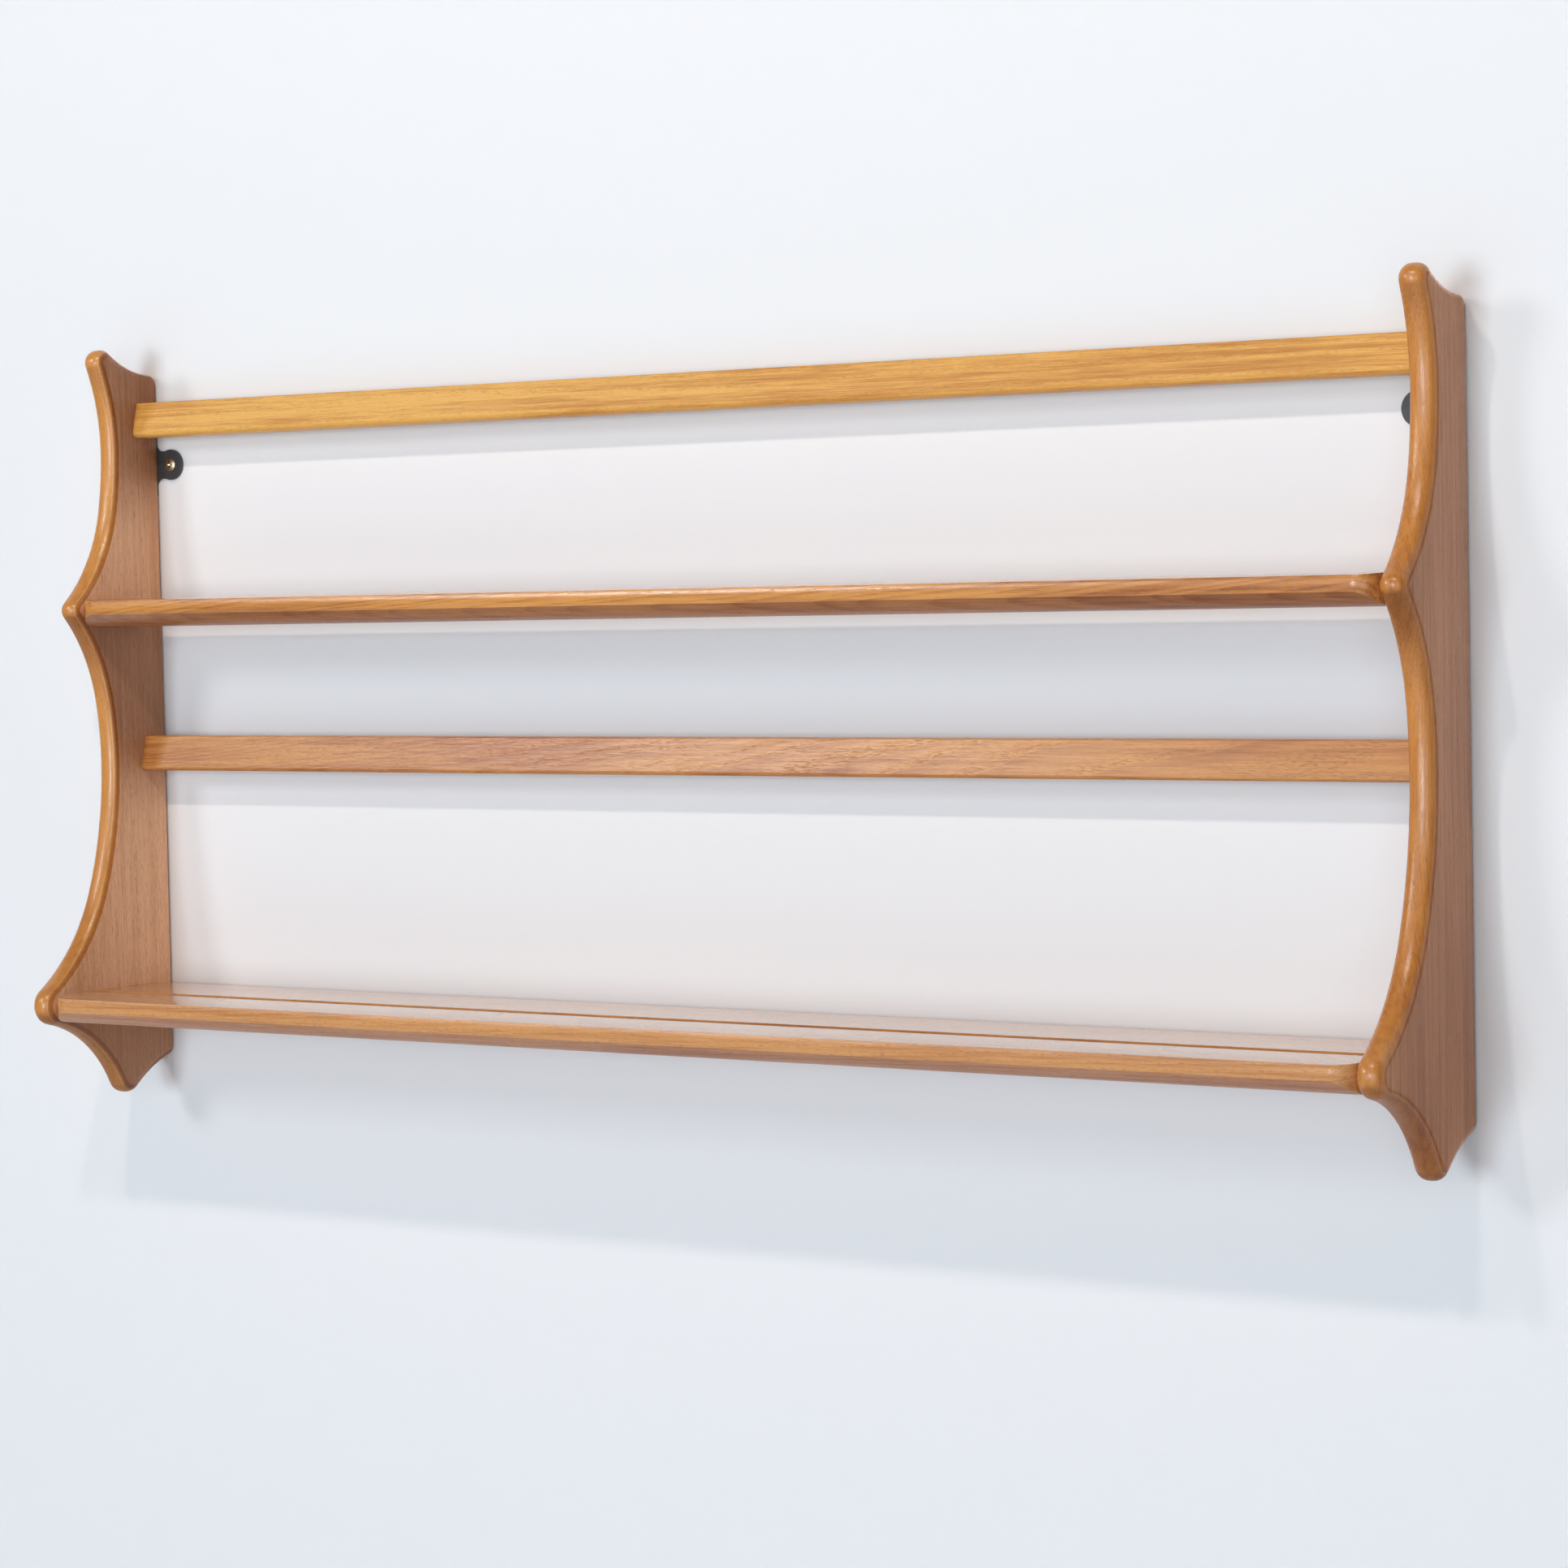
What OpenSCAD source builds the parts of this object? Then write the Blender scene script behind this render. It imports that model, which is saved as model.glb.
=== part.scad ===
// Wall plate rack in oiled hardwood: two scalloped sides, two grooved shelves and two leaning rails,
// joined with dowels and hung from two lugged steel plates.
// Millimetres. X runs along the rack, the front faces -Y and Z is up. The origin lies on the wall
// plane, midway between the two wall screws.
// A side is drawn as an outline in (u, v): u is the distance forward from its back edge, and v the
// height above the bottom of that edge.

/* [Rack] */
// Length over the outer faces of the two sides
rack_length = 970; // [600:5:1200]
// Height of a side along its straight back edge
back_height = 458; // [445:1:480]
// Drop from the top of the back edge to the wall screws
screw_drop = 60; // [54:1:88]

/* [Side panels] */
// Thickness of a side
side_t = 16.5; // [15.5:0.5:22]
// Radius worked on both arrises of a side's outline
edge_r = 7; // [2:0.5:7]
// Radius of the corner between the back edge and the top
back_corner_r = 4; // [2:0.5:8]
// Share of the arris radius that is left at that corner, behind the horn
corner_edge_share = 0.35; // [0.2:0.05:1]
// Depth of the lower nose, and of the lower shelf behind it
lower_depth = 118; // [108:1:130]
// Depth of the upper nose, and of the upper shelf's front behind it
upper_depth = 82; // [74:1:92]
// Radius of the lower nose
lower_nose_r = 13; // [10:0.5:16]
// Radius of the upper nose
upper_nose_r = 8; // [8:0.5:11]
// Height from a nose's centre up to the top of its shelf
nose_drop = 7.2; // [5:0.1:9]
// Depth of a side at its lower waist
lower_waist_depth = 48.5; // [44:0.5:56]
// Height of the lower waist
lower_waist_height = 201; // [180:1:215]
// Depth of a side at its upper waist
upper_waist_depth = 40.8; // [38:0.1:46]
// Height of the upper waist
upper_waist_height = 407; // [395:1:415]
// Degrees that the lower waist turns on its long radius below its deepest point
lower_waist_low_turn = 20; // [8:1:26]
// Degrees that the lower waist turns on its long radius above its deepest point
lower_waist_high_turn = 11; // [5:1:16]
// Degrees that the upper waist turns on its long radius below its deepest point
upper_waist_low_turn = 11; // [5:1:16]
// Depth of the horn at the top of the front edge
horn_depth = 53.3; // [50:0.1:57]
// Height of the horn above the top of the back edge
horn_rise = 15.8; // [12:0.1:22]
// Radius of the horn
horn_r = 8.6; // [8:0.1:11]
// Depth of the foot's centre
foot_depth = 39; // [34:1:46]
// Drop of the foot below the bottom of the back edge
foot_drop = 20.5; // [14:0.5:26]
// Radius of the foot
foot_r = 10.8; // [8:0.1:14]
// Radius of the hollow between the foot and the back edge
foot_back_r = 95; // [60:1:140]
// Radius of the hollow between the foot and the lower nose
foot_front_r = 87; // [60:1:120]

/* [Shelves] */
// Height of the lower shelf's top
lower_shelf_top = 51; // [47:1:56]
// Height of the upper shelf's top
upper_shelf_top = 309; // [300:1:318]
// Open gap between the sides' back edges and the upper shelf's back
upper_shelf_setback = 23; // [16:1:26]
// Thickness of both shelves
shelf_t = 18.5; // [16:0.5:20]
// Height of the upright face along a shelf's front
shelf_face_h = 9; // [5:0.5:12]
// Radius that rolls the front face into the underside
shelf_under_r = 28; // [15:1:40]
// Radius that rounds a shelf's front corners, seen from above
shelf_corner_r = 15; // [4:1:17]
// Width of the strip behind the front face that falls away
front_fall_run = 24; // [10:1:30]
// Fall of that strip
front_fall = 1.2; // [0.5:0.1:3]
// Width of the strip along the back that falls away
back_fall_run = 17; // [10:1:25]
// Fall of that strip
back_fall = 2.3; // [0.5:0.1:4]
// Distance from the back edge to the middle of the lower shelf's plate groove
lower_groove_at = 76; // [60:1:86]
// Distance from the back edge to the middle of the upper shelf's plate groove
upper_groove_at = 48; // [38:1:52]
// Width of a plate groove at the surface
groove_w = 11; // [6:0.5:14]
// Depth of a plate groove
groove_depth = 3; // [1:0.5:4]

/* [Rails] */
// Height of a rail
rail_h = 23; // [21:0.5:28]
// Thickness of a rail along its top
rail_top_t = 14; // [12:0.5:18]
// Thickness of a rail along its bottom, so that its front face leans
rail_bottom_t = 19.5; // [16:0.5:24]
// Gap between the side's back edge and a rail's back face
rail_setback = 4; // [0:0.5:6]
// Height of the middle rail's top
middle_rail_top = 217; // [190:1:240]
// Drop from the top of the back edge to the upper rail's top
upper_rail_drop = 19; // [12:1:24]
// Radius on the lower front arris of the middle rail
middle_rail_r = 2; // [1:0.5:5]
// Radius on the lower front arris of the upper rail
upper_rail_r = 3.5; // [1:0.5:5]
// Radius on a rail's other arrises
rail_arris_r = 1; // [0.5:0.1:2]

/* [Dowels] */
// Diameter of the dowels in the shelves
shelf_dowel_d = 8; // [6:0.5:9]
// Diameter of the dowels in the rails
rail_dowel_d = 6; // [4:0.5:6.5]
// Length of a dowel inside the side
dowel_in_side = 11; // [8:0.5:12]
// Length of a dowel inside the shelf or rail
dowel_in_board = 20; // [14:1:30]
// Distance from a shelf's back to its rear dowel
rear_dowel_inset = 15; // [12:1:16]
// Distance from a shelf's front to its front dowel
front_dowel_inset = 24; // [23:1:26]
// Height between the two dowels of a rail
rail_dowel_pitch = 11; // [9:0.5:12]

/* [Hanging plates] */
// Thickness of a hanging plate, which keeps the wood off the wall
plate_t = 2; // [1.5:0.1:3]
// Width of the side's back edge that stays bare at each side of a plate
plate_margin = 0.6; // [0.3:0.1:2]
// Height of the part of a plate that is screwed to the side
plate_h = 44; // [38:1:56]
// Radius of that part's corners
plate_corner_r = 3; // [1:0.5:5]
// Distance from the side's inner face to the wall screw
lug_reach = 12; // [11:0.5:20]
// Radius of the lug round the wall screw
lug_r = 10.2; // [8:0.1:12]
// Height of the neck between the plate and its lug
neck_h = 18.5; // [14:0.5:19]
// Radius where the plate flares into its neck
flare_r = 5; // [2:0.5:6]
// Radius where the neck runs into the lug
neck_blend_r = 4; // [2:0.5:6]
// Height between the two screws that hold a plate
plate_screw_pitch = 30; // [26:1:34]

/* [Screws] */
// Radius of the wall screw behind the wall plane
wall_screw_r = 2; // [1.5:0.1:2.1]
// Length of the wall screw behind the wall plane
wall_screw_length = 32; // [20:1:60]
// Radius of the wall screw's neck, inside the plate
wall_neck_r = 2.2; // [2.2:0.1:2.6]
// Radius of the wall screw's head
wall_head_r = 4.3; // [4:0.1:5]
// Height that the wall screw's rim stands proud of the plate
wall_head_proud = 0.4; // [0.2:0.1:1]
// Height of the dome on the wall screw's head
wall_dome_h = 0.8; // [0.3:0.1:1.5]
// Radius of the screws that hold the plates
plate_screw_r = 1.7; // [1.2:0.1:1.8]
// Length of those screws
plate_screw_length = 16; // [10:1:24]
// Radius of their flush heads
plate_head_r = 3.4; // [2.6:0.1:3.6]
// Length of a screw's point
screw_point = 5; // [3:0.5:7]
// Width of the slots in the cross recess
recess_w = 0.9; // [0.5:0.1:1.2]
// Length of the slots, as a share of the head's diameter
recess_share = 0.56; // [0.4:0.02:0.7]
// Depth of the cross recess below the rim
recess_depth = 1.1; // [0.6:0.1:1.3]

/* [Fits] */
// Clearance all round a dowel or a screw in its bore
fit_clear = 0.05; // [0.02:0.01:0.1]
// Depth of a bore past the end of what sits in it
bore_spare = 1; // [0.5:0.5:2]

/* [Hidden] */

// Largest distance between a drawn curve and the true one
curve_tolerance = 0.05;
// Facets across each rounded arris of a side
edge_steps = 6;
// Sides of a round bore, shank or head
round_fn = 48;
// Share of its long radius to which a waist tightens towards a nose or the horn
tight_share = 0.5;
// Least radius that a rounded outline keeps on the flat faces of a side
least_r = 0.8;
// Overlap of a cutting shape past the surface it opens
cut_past = 1;
// Radius of the flat on a screw's point
point_flat_r = 0.3;
// Width of the bevel on a dowel's ends
dowel_bevel = 0.8;

screw_height = back_height - screw_drop;
upper_rail_top = back_height - upper_rail_drop;
inner_x = rack_length / 2 - side_t;
side_middle_x = rack_length / 2 - side_t / 2;
screw_x = inner_x - lug_reach;
arris_r = min(edge_r, side_t / 2 - least_r, min(upper_nose_r, lower_nose_r, horn_r, foot_r) - least_r);

side_colour = [0.72, 0.45, 0.24];
board_colour = [0.80, 0.53, 0.28];
dowel_colour = [0.87, 0.74, 0.55];
plate_colour = [0.12, 0.12, 0.13];
brass_colour = [0.80, 0.66, 0.36];

// ---------------------------------------------------------------- plane geometry

// The point at distance r from c, in direction a
function polar(c, r, a) = [c[0] + r * cos(a), c[1] + r * sin(a)];

// The direction from p to q, from 0 to 360
function heading(p, q) = (atan2(q[1] - p[1], q[0] - p[0]) + 360) % 360;

// The same direction as b, given so that it comes after a
function after(a, b) = b < a ? b + 360 : b;

// How many chords draw an arc of radius r and the given sweep within curve_tolerance
function chords(r, sweep) = max(2, ceil(abs(sweep) * PI / 180 * sqrt(r / (8 * curve_tolerance))));

// The points of an arc after its first one. The steps let arcs of other radii have as many points.
function arc_tail(c, r, from, to, steps) =
    [for (k = [1:steps]) polar(c, r, from + (to - from) * k / steps)];

// All the points of an arc
function arc(c, r, from, to) =
    concat([polar(c, r, from)], arc_tail(c, r, from, to, chords(r, to - from)));

// The radius of an arc that falls by `fall` over `run` from a level tangent
function fall_radius(run, fall) = (run * run + fall * fall) / (2 * fall);

// The corner p of the path a-p-b, rounded to radius r
function round_corner(a, p, b, r) =
    let (
        to_a = (a - p) / norm(a - p),
        to_b = (b - p) / norm(b - p),
        half = acos(to_a * to_b) / 2,
        c = p + (to_a + to_b) / norm(to_a + to_b) * r / sin(half),
        from = heading(c, p + to_a * r / tan(half)),
        to = heading(c, p + to_b * r / tan(half)),
        sweep = (to - from + 540) % 360 - 180
    )
    arc(c, r, from, from + sweep);

// A closed path with each corner rounded to its own radius
function round_path(corners, radii) =
    let (n = len(corners))
    [
        for (k = [0:n - 1])
            each round_corner(corners[(k + n - 1) % n], corners[k], corners[(k + 1) % n], radii[k])
    ];

// ---------------------------------------------------------------- a side's outline

// The noses, the horn and the foot are round: these are the centres of their circles.
lower_nose = [lower_depth - lower_nose_r, lower_shelf_top - nose_drop];
upper_nose = [upper_depth - upper_nose_r, upper_shelf_top - nose_drop];
horn = [horn_depth - horn_r, back_height + horn_rise - horn_r];
foot = [foot_depth, foot_r - foot_drop];

// The centre, to the right of the way from p to q, of the hollow of radius r that touches the
// circles of radius pr and qr round them
function hollow(p, pr, q, qr, r) =
    let (
        gap = norm(q - p),
        way = (q - p) / gap,
        along = ((r + pr) * (r + pr) - (r + qr) * (r + qr) + gap * gap) / (2 * gap),
        off = sqrt((r + pr) * (r + pr) - along * along)
    )
    p + along * way + off * [way[1], -way[0]];

// Half a waist starts upright at the deepest point, turns by `turn` on a long radius, then goes on
// at tight_share of it until it touches a round of radius r, whose centre lies `out` deeper and
// `rise` higher or lower. This is the long radius.
function long_radius(turn, r, out, rise) =
    let (
        slack = 1 - tight_share,
        a = 2 * slack * (1 - cos(turn)),
        b = out * (1 - slack * cos(turn)) + rise * slack * sin(turn) + tight_share * r,
        c = out * out + rise * rise - r * r
    )
    c / (b + sqrt(b * b - a * c));

// The two centres and radii of half a waist: [long centre, long radius, tight centre, tight radius]
function half_waist(depth, height, turn, c, r) =
    let (
        up = c[1] > height ? 1 : -1,
        long = long_radius(turn, r, c[0] - depth, abs(c[1] - height)),
        tight = long * tight_share,
        long_c = [depth + long, height]
    )
    [long_c, long, long_c - (long - tight) * [cos(turn), -up * sin(turn)], tight];

low_1 = half_waist(lower_waist_depth, lower_waist_height, lower_waist_low_turn, lower_nose, lower_nose_r);
low_2 = half_waist(lower_waist_depth, lower_waist_height, lower_waist_high_turn, upper_nose, upper_nose_r);
high_1 = half_waist(upper_waist_depth, upper_waist_height, upper_waist_low_turn, upper_nose, upper_nose_r);
// Above the upper waist one arc, with no turn on a long radius, runs straight into the horn.
high_2 = half_waist(upper_waist_depth, upper_waist_height, 0, horn, horn_r);

back_hollow = hollow([0, 0], 0, foot, foot_r, foot_back_r);
front_hollow = hollow(foot, foot_r, lower_nose, lower_nose_r, foot_front_r);

// The hollow behind the horn is level where it would meet the back edge, so its centre is above it.
horn_above = horn[1] - back_height;
top_hollow_r = (horn[0] * horn[0] + horn_above * horn_above - horn_r * horn_r) / (2 * (horn_r + horn_above));
top_hollow = [0, back_height + top_hollow_r];

// A round of the outline, between the arcs before and after it: [centre, radius, -1, from, to].
// The -1 says that its radius shrinks when the outline is drawn further inside the wood.
function knob(c, r, before, next) =
    let (from = heading(c, before))
    [c, r, -1, from, after(from, heading(c, next))];

// A hollow between two directions: its radius grows when the outline is drawn further inside.
function dish(c, r, from, to) = [c, r, 1, from, to];

// Every arc of the outline between the hollow over the foot and the hollow behind the horn
outline_arcs = [
    knob(foot, foot_r, back_hollow, front_hollow),
    dish(front_hollow, foot_front_r, heading(front_hollow, foot), heading(front_hollow, lower_nose)),
    knob(lower_nose, lower_nose_r, front_hollow, low_1[2]),
    dish(low_1[2], low_1[3], heading(low_1[2], lower_nose), 180 + lower_waist_low_turn),
    dish(low_1[0], low_1[1], 180 + lower_waist_low_turn, 180),
    dish(low_2[0], low_2[1], 180, 180 - lower_waist_high_turn),
    dish(low_2[2], low_2[3], 180 - lower_waist_high_turn, heading(low_2[2], upper_nose)),
    knob(upper_nose, upper_nose_r, low_2[2], high_1[2]),
    dish(high_1[2], high_1[3], heading(high_1[2], upper_nose), 180 + upper_waist_low_turn),
    dish(high_1[0], high_1[1], 180 + upper_waist_low_turn, 180),
    dish(high_2[2], high_2[3], 180, heading(high_2[2], horn)),
    knob(horn, horn_r, high_2[2], top_hollow),
];

// The centre of the rounded corner between the top hollow and the back edge
function back_corner(inset) =
    let (reach = top_hollow_r + inset + back_corner_r)
    [back_corner_r, top_hollow[1] - sqrt(reach * reach - back_corner_r * back_corner_r)];

// Points of the outline, each with the share of the arris radius that it has
function with_share(points, share) = [for (p = points) [p[0], p[1], share]];

// The outline from the bottom of the back edge to the top of the horn, drawn `inset` inside the
// true one but always reaching the back edge
function worked_outline(inset) =
    let (
        bottom_r = foot_back_r + inset,
        bottom_from = acos(-back_hollow[0] / bottom_r),
        bottom_to = heading(back_hollow, foot)
    )
    concat(
        [[0, back_hollow[1] + bottom_r * sin(bottom_from)]],
        arc_tail(back_hollow, bottom_r, bottom_from, bottom_to,
            chords(foot_back_r, bottom_to - heading(back_hollow, [0, 0]))),
        [
            for (a = outline_arcs)
                each arc_tail(a[0], a[1] + a[2] * inset, a[3], a[4], chords(a[1], a[4] - a[3]))
        ]
    );

// The rest of it, where the inset shrinks with the arris from the horn to the back corner
function eased_outline(inset) =
    let (
        corner = back_corner(inset * corner_edge_share),
        from = heading(top_hollow, horn),
        to = heading(top_hollow, corner),
        steps = chords(top_hollow_r, from - heading(top_hollow, back_corner(0)))
    )
    concat(
        [
            for (k = [1:steps])
                let (
                    share = 1 - (1 - corner_edge_share) * k / steps,
                    p = polar(top_hollow, top_hollow_r + inset * share, from + (to - from) * k / steps)
                )
                [p[0], p[1], share]
        ],
        with_share(
            arc_tail(corner, back_corner_r, heading(corner, top_hollow), 180, chords(back_corner_r, 90)),
            corner_edge_share
        )
    );

function outline(inset) = concat(with_share(worked_outline(inset), 1), eased_outline(inset));

// The slices of a side from face to face: [which face it is near, turn of the arris from that face]
slices = concat(
    [for (k = [0:edge_steps]) [-1, 90 * k / edge_steps]],
    [for (k = [edge_steps:-1:0]) [1, 90 * k / edge_steps]]
);

// A point of the rack from its place along it, its depth from the wood's back edge and its height
function place(x, u, v) = [x, -plate_t - u, v - screw_height];

// The outline point p of slice s as a point of the panel, whose middle plane is x = 0
function panel_point(s, p) =
    place(s[0] * (side_t / 2 - arris_r * p[2] * (1 - cos(s[1]))), p[0], p[1]);

// ---------------------------------------------------------------- bores, dowels and screws

// Depths from the back edge at which a shelf is dowelled
lower_dowel_depths = [
    rear_dowel_inset,
    (rear_dowel_inset + lower_depth - front_dowel_inset) / 2,
    lower_depth - front_dowel_inset,
];
upper_dowel_depths = [upper_shelf_setback + rear_dowel_inset, upper_depth - front_dowel_inset];

function shelf_dowels(depths, top) = [for (u = depths) [u, top - shelf_t / 2]];

function rail_dowels(top) =
    [for (s = [-1, 1]) [rail_setback + rail_top_t / 2, top - rail_h / 2 + s * rail_dowel_pitch / 2]];

lower_shelf_dowels = shelf_dowels(lower_dowel_depths, lower_shelf_top);
upper_shelf_dowels = shelf_dowels(upper_dowel_depths, upper_shelf_top);
middle_rail_dowels = rail_dowels(middle_rail_top);
upper_rail_dowels = rail_dowels(upper_rail_top);

// All that comes in pairs is drawn for the left, and this is its twin on the right.
module on_right() {
    mirror([1, 0, 0])
        children();
}

// Puts a shape that points along +Z at a joint on the left side's inner face, pointing into the side
module at_joint(spot) {
    translate(place(-inner_x, spot[0], spot[1]))
        rotate([0, -90, 0])
            children();
}

// The bores that the dowels at these spots need, into the left side and into the board
module dowel_bores(spots, d) {
    for (spot = spots)
        at_joint(spot)
            translate([0, 0, -dowel_in_board - bore_spare])
                cylinder(
                    h = dowel_in_board + dowel_in_side + 2 * bore_spare,
                    r = d / 2 + fit_clear,
                    $fn = round_fn
                );
}

// The dowels at these spots on the left, each bevelled at both ends
module dowels(spots, d) {
    r = d / 2;
    length = dowel_in_board + dowel_in_side;
    color(dowel_colour)
        for (spot = spots)
            at_joint(spot)
                translate([0, 0, -dowel_in_board])
                    rotate_extrude($fn = round_fn)
                        polygon([
                            [0, 0],
                            [r - dowel_bevel, 0],
                            [r, dowel_bevel],
                            [r, length - dowel_bevel],
                            [r - dowel_bevel, length],
                            [0, length],
                        ]);
}

// Heights of the two screws of a hanging plate
plate_screw_heights = [for (s = [-1, 1]) screw_height + s * plate_screw_pitch / 2];

// A countersunk screw along +Z. Its rim starts at z = 0, under a dome that stands below it.
module screw(head_r, rim_h, dome_h, neck_r, neck_end, shank_r, length) {
    dome_r = dome_h > 0 ? fall_radius(head_r, dome_h) : 0;
    dome = dome_h > 0
        ? arc([0, dome_r - dome_h], dome_r, -90, -90 + asin(head_r / dome_r))
        : [[0, 0], [head_r, 0]];
    difference() {
        rotate_extrude($fn = round_fn)
            polygon(concat(dome, [
                [head_r, rim_h],
                [neck_r, rim_h + head_r - neck_r],
                [neck_r, neck_end],
                [shank_r, neck_end],
                [shank_r, length - screw_point],
                [point_flat_r, length],
                [0, length],
            ]));
        for (a = [0, 90])
            rotate(a)
                translate([-head_r * recess_share, -recess_w / 2, -dome_h - cut_past])
                    cube([2 * head_r * recess_share, recess_w, dome_h + cut_past + recess_depth]);
    }
}

// ---------------------------------------------------------------- sides

// A flat face of a side is drawn as three fans of triangles. Each spreads from a hub that sees its
// own stretch of the outline: one stretch round each nose, and one above the upper waist.
hubs = [
    for (v = [lower_nose[1], upper_nose[1], (upper_waist_height + back_height) / 2])
        [upper_waist_depth / 2, v, 1]
];

function hub_for(p) = p[1] < lower_waist_height ? 0 : p[1] < upper_waist_height ? 1 : 2;

// The triangles of a flat face inside one ring of outline points, as numbers of points: a hub's
// number is first_hub and up, a ring point's is first_point and up
function fans(ring, first_point, first_hub) = [
    for (j = [0:len(ring) - 1])
        let (
            next = (j + 1) % len(ring),
            from = hub_for(ring[j]),
            to = hub_for(ring[next]),
            step = sign(to - from)
        )
        each concat(
            [[first_hub + from, first_point + j, first_point + next]],
            [
                for (k = [from:step == 0 ? 1 : step:to - step])
                    if (step != 0)
                        [first_hub + k, first_point + next, first_hub + k + step]
            ]
        )
];

// A triangle seen from its other side
function turned(t) = [t[0], t[2], t[1]];

// The worked panel: slices of the outline joined across the thickness
module side_panel() {
    rings = [for (s = slices) outline(arris_r * (1 - sin(s[1])))];
    around = len(rings[0]);
    last = len(rings) - 1;
    first_hub = len(rings) * around;
    polyhedron(
        points = concat(
            [for (i = [0:last]) for (p = rings[i]) panel_point(slices[i], p)],
            [for (i = [0, last]) for (p = hubs) panel_point(slices[i], p)]
        ),
        faces = concat(
            [for (t = fans(rings[0], 0, first_hub)) turned(t)],
            fans(rings[last], last * around, first_hub + len(hubs)),
            [
                for (i = [0:last - 1])
                    for (j = [0:around - 1])
                        let (
                            a = i * around + j,
                            b = i * around + (j + 1) % around,
                            c = b + around,
                            d = a + around
                        )
                        each [[a, b, c], [a, c, d]]
            ]
        )
    );
}

module left_side() {
    color(side_colour)
        difference() {
            translate([-side_middle_x, 0, 0])
                side_panel();
            dowel_bores(lower_shelf_dowels, shelf_dowel_d);
            dowel_bores(upper_shelf_dowels, shelf_dowel_d);
            dowel_bores(middle_rail_dowels, rail_dowel_d);
            dowel_bores(upper_rail_dowels, rail_dowel_d);
            for (v = plate_screw_heights)
                translate(place(-side_middle_x, -cut_past, v))
                    rotate([90, 0, 0])
                        cylinder(
                            h = cut_past + plate_screw_length - plate_t + bore_spare,
                            r = plate_screw_r + fit_clear,
                            $fn = round_fn
                        );
        }
}

module right_side() { on_right() left_side(); }

// ---------------------------------------------------------------- shelves

// A shelf's section in (u, v) from its back to its depth, with v = 0 at its top
function shelf_section(back, depth) =
    let (
        back_r = fall_radius(back_fall_run, back_fall),
        front_r = fall_radius(front_fall_run, front_fall),
        under_rise = shelf_t - front_fall - shelf_face_h,
        under_turn = acos(1 - under_rise / shelf_under_r),
        under_c = [depth - shelf_under_r * sin(under_turn), shelf_under_r - shelf_t]
    )
    concat(
        [[back, -shelf_t]],
        arc(under_c, shelf_under_r, -90, -90 + under_turn),
        arc([depth - front_fall_run, -front_r], front_r, 90 - asin(front_fall_run / front_r), 90),
        arc([back + back_fall_run, -back_r], back_r, 90, 90 + asin(back_fall_run / back_r))
    );

// Stands a section in (u, v) upright along X and extrudes it between the inner faces of the sides
module board(section, top) {
    translate(place(-inner_x, 0, top))
        rotate([90, 0, 90])
            linear_extrude(height = 2 * inner_x)
                mirror([1, 0])
                    polygon(section);
}

// The waste outside the rounding of a shelf's left front corner
module corner_waste(depth, top) {
    r = shelf_corner_r;
    beyond = [[-cut_past, r], [-cut_past, -cut_past], [r, -cut_past]];
    translate(place(-inner_x, depth, top - shelf_t - cut_past))
        linear_extrude(height = shelf_t + 2 * cut_past)
            polygon(concat(beyond, arc([r, r], r, 270, 180)));
}

module shelf(back, depth, top, groove_at, dowel_spots) {
    groove_r = fall_radius(groove_w / 2, groove_depth);
    color(board_colour)
        difference() {
            board(shelf_section(back, depth), top);
            corner_waste(depth, top);
            on_right()
                corner_waste(depth, top);
            translate(place(-inner_x - cut_past, groove_at, top + groove_r - groove_depth))
                rotate([0, 90, 0])
                    cylinder(h = 2 * (inner_x + cut_past), r = groove_r, $fn = round_fn);
            dowel_bores(dowel_spots, shelf_dowel_d);
            on_right()
                dowel_bores(dowel_spots, shelf_dowel_d);
        }
}

module upper_shelf() {
    shelf(upper_shelf_setback, upper_depth, upper_shelf_top, upper_groove_at, upper_shelf_dowels);
}
module lower_shelf() { shelf(0, lower_depth, lower_shelf_top, lower_groove_at, lower_shelf_dowels); }

// ---------------------------------------------------------------- rails

// A rail's section in (u, v), with v = 0 at its top: its front face leans forward at the bottom
function rail_section(lower_r) =
    let (
        back = rail_setback,
        corners = [[back, -rail_h], [back + rail_bottom_t, -rail_h], [back + rail_top_t, 0], [back, 0]]
    )
    round_path(corners, [rail_arris_r, lower_r, rail_arris_r, rail_arris_r]);

module rail(top, lower_r, dowel_spots) {
    color(board_colour)
        difference() {
            board(rail_section(lower_r), top);
            dowel_bores(dowel_spots, rail_dowel_d);
            on_right()
                dowel_bores(dowel_spots, rail_dowel_d);
        }
}

module upper_rail() { rail(upper_rail_top, upper_rail_r, upper_rail_dowels); }
module middle_rail() { rail(middle_rail_top, middle_rail_r, middle_rail_dowels); }

// ---------------------------------------------------------------- dowels

module upper_shelf_left_dowels() { dowels(upper_shelf_dowels, shelf_dowel_d); }
module upper_shelf_right_dowels() { on_right() upper_shelf_left_dowels(); }
module lower_shelf_left_dowels() { dowels(lower_shelf_dowels, shelf_dowel_d); }
module lower_shelf_right_dowels() { on_right() lower_shelf_left_dowels(); }
module upper_rail_left_dowels() { dowels(upper_rail_dowels, rail_dowel_d); }
module upper_rail_right_dowels() { on_right() upper_rail_left_dowels(); }
module middle_rail_left_dowels() { dowels(middle_rail_dowels, rail_dowel_d); }
module middle_rail_right_dowels() { on_right() middle_rail_left_dowels(); }

// ---------------------------------------------------------------- hanging plates

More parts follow.
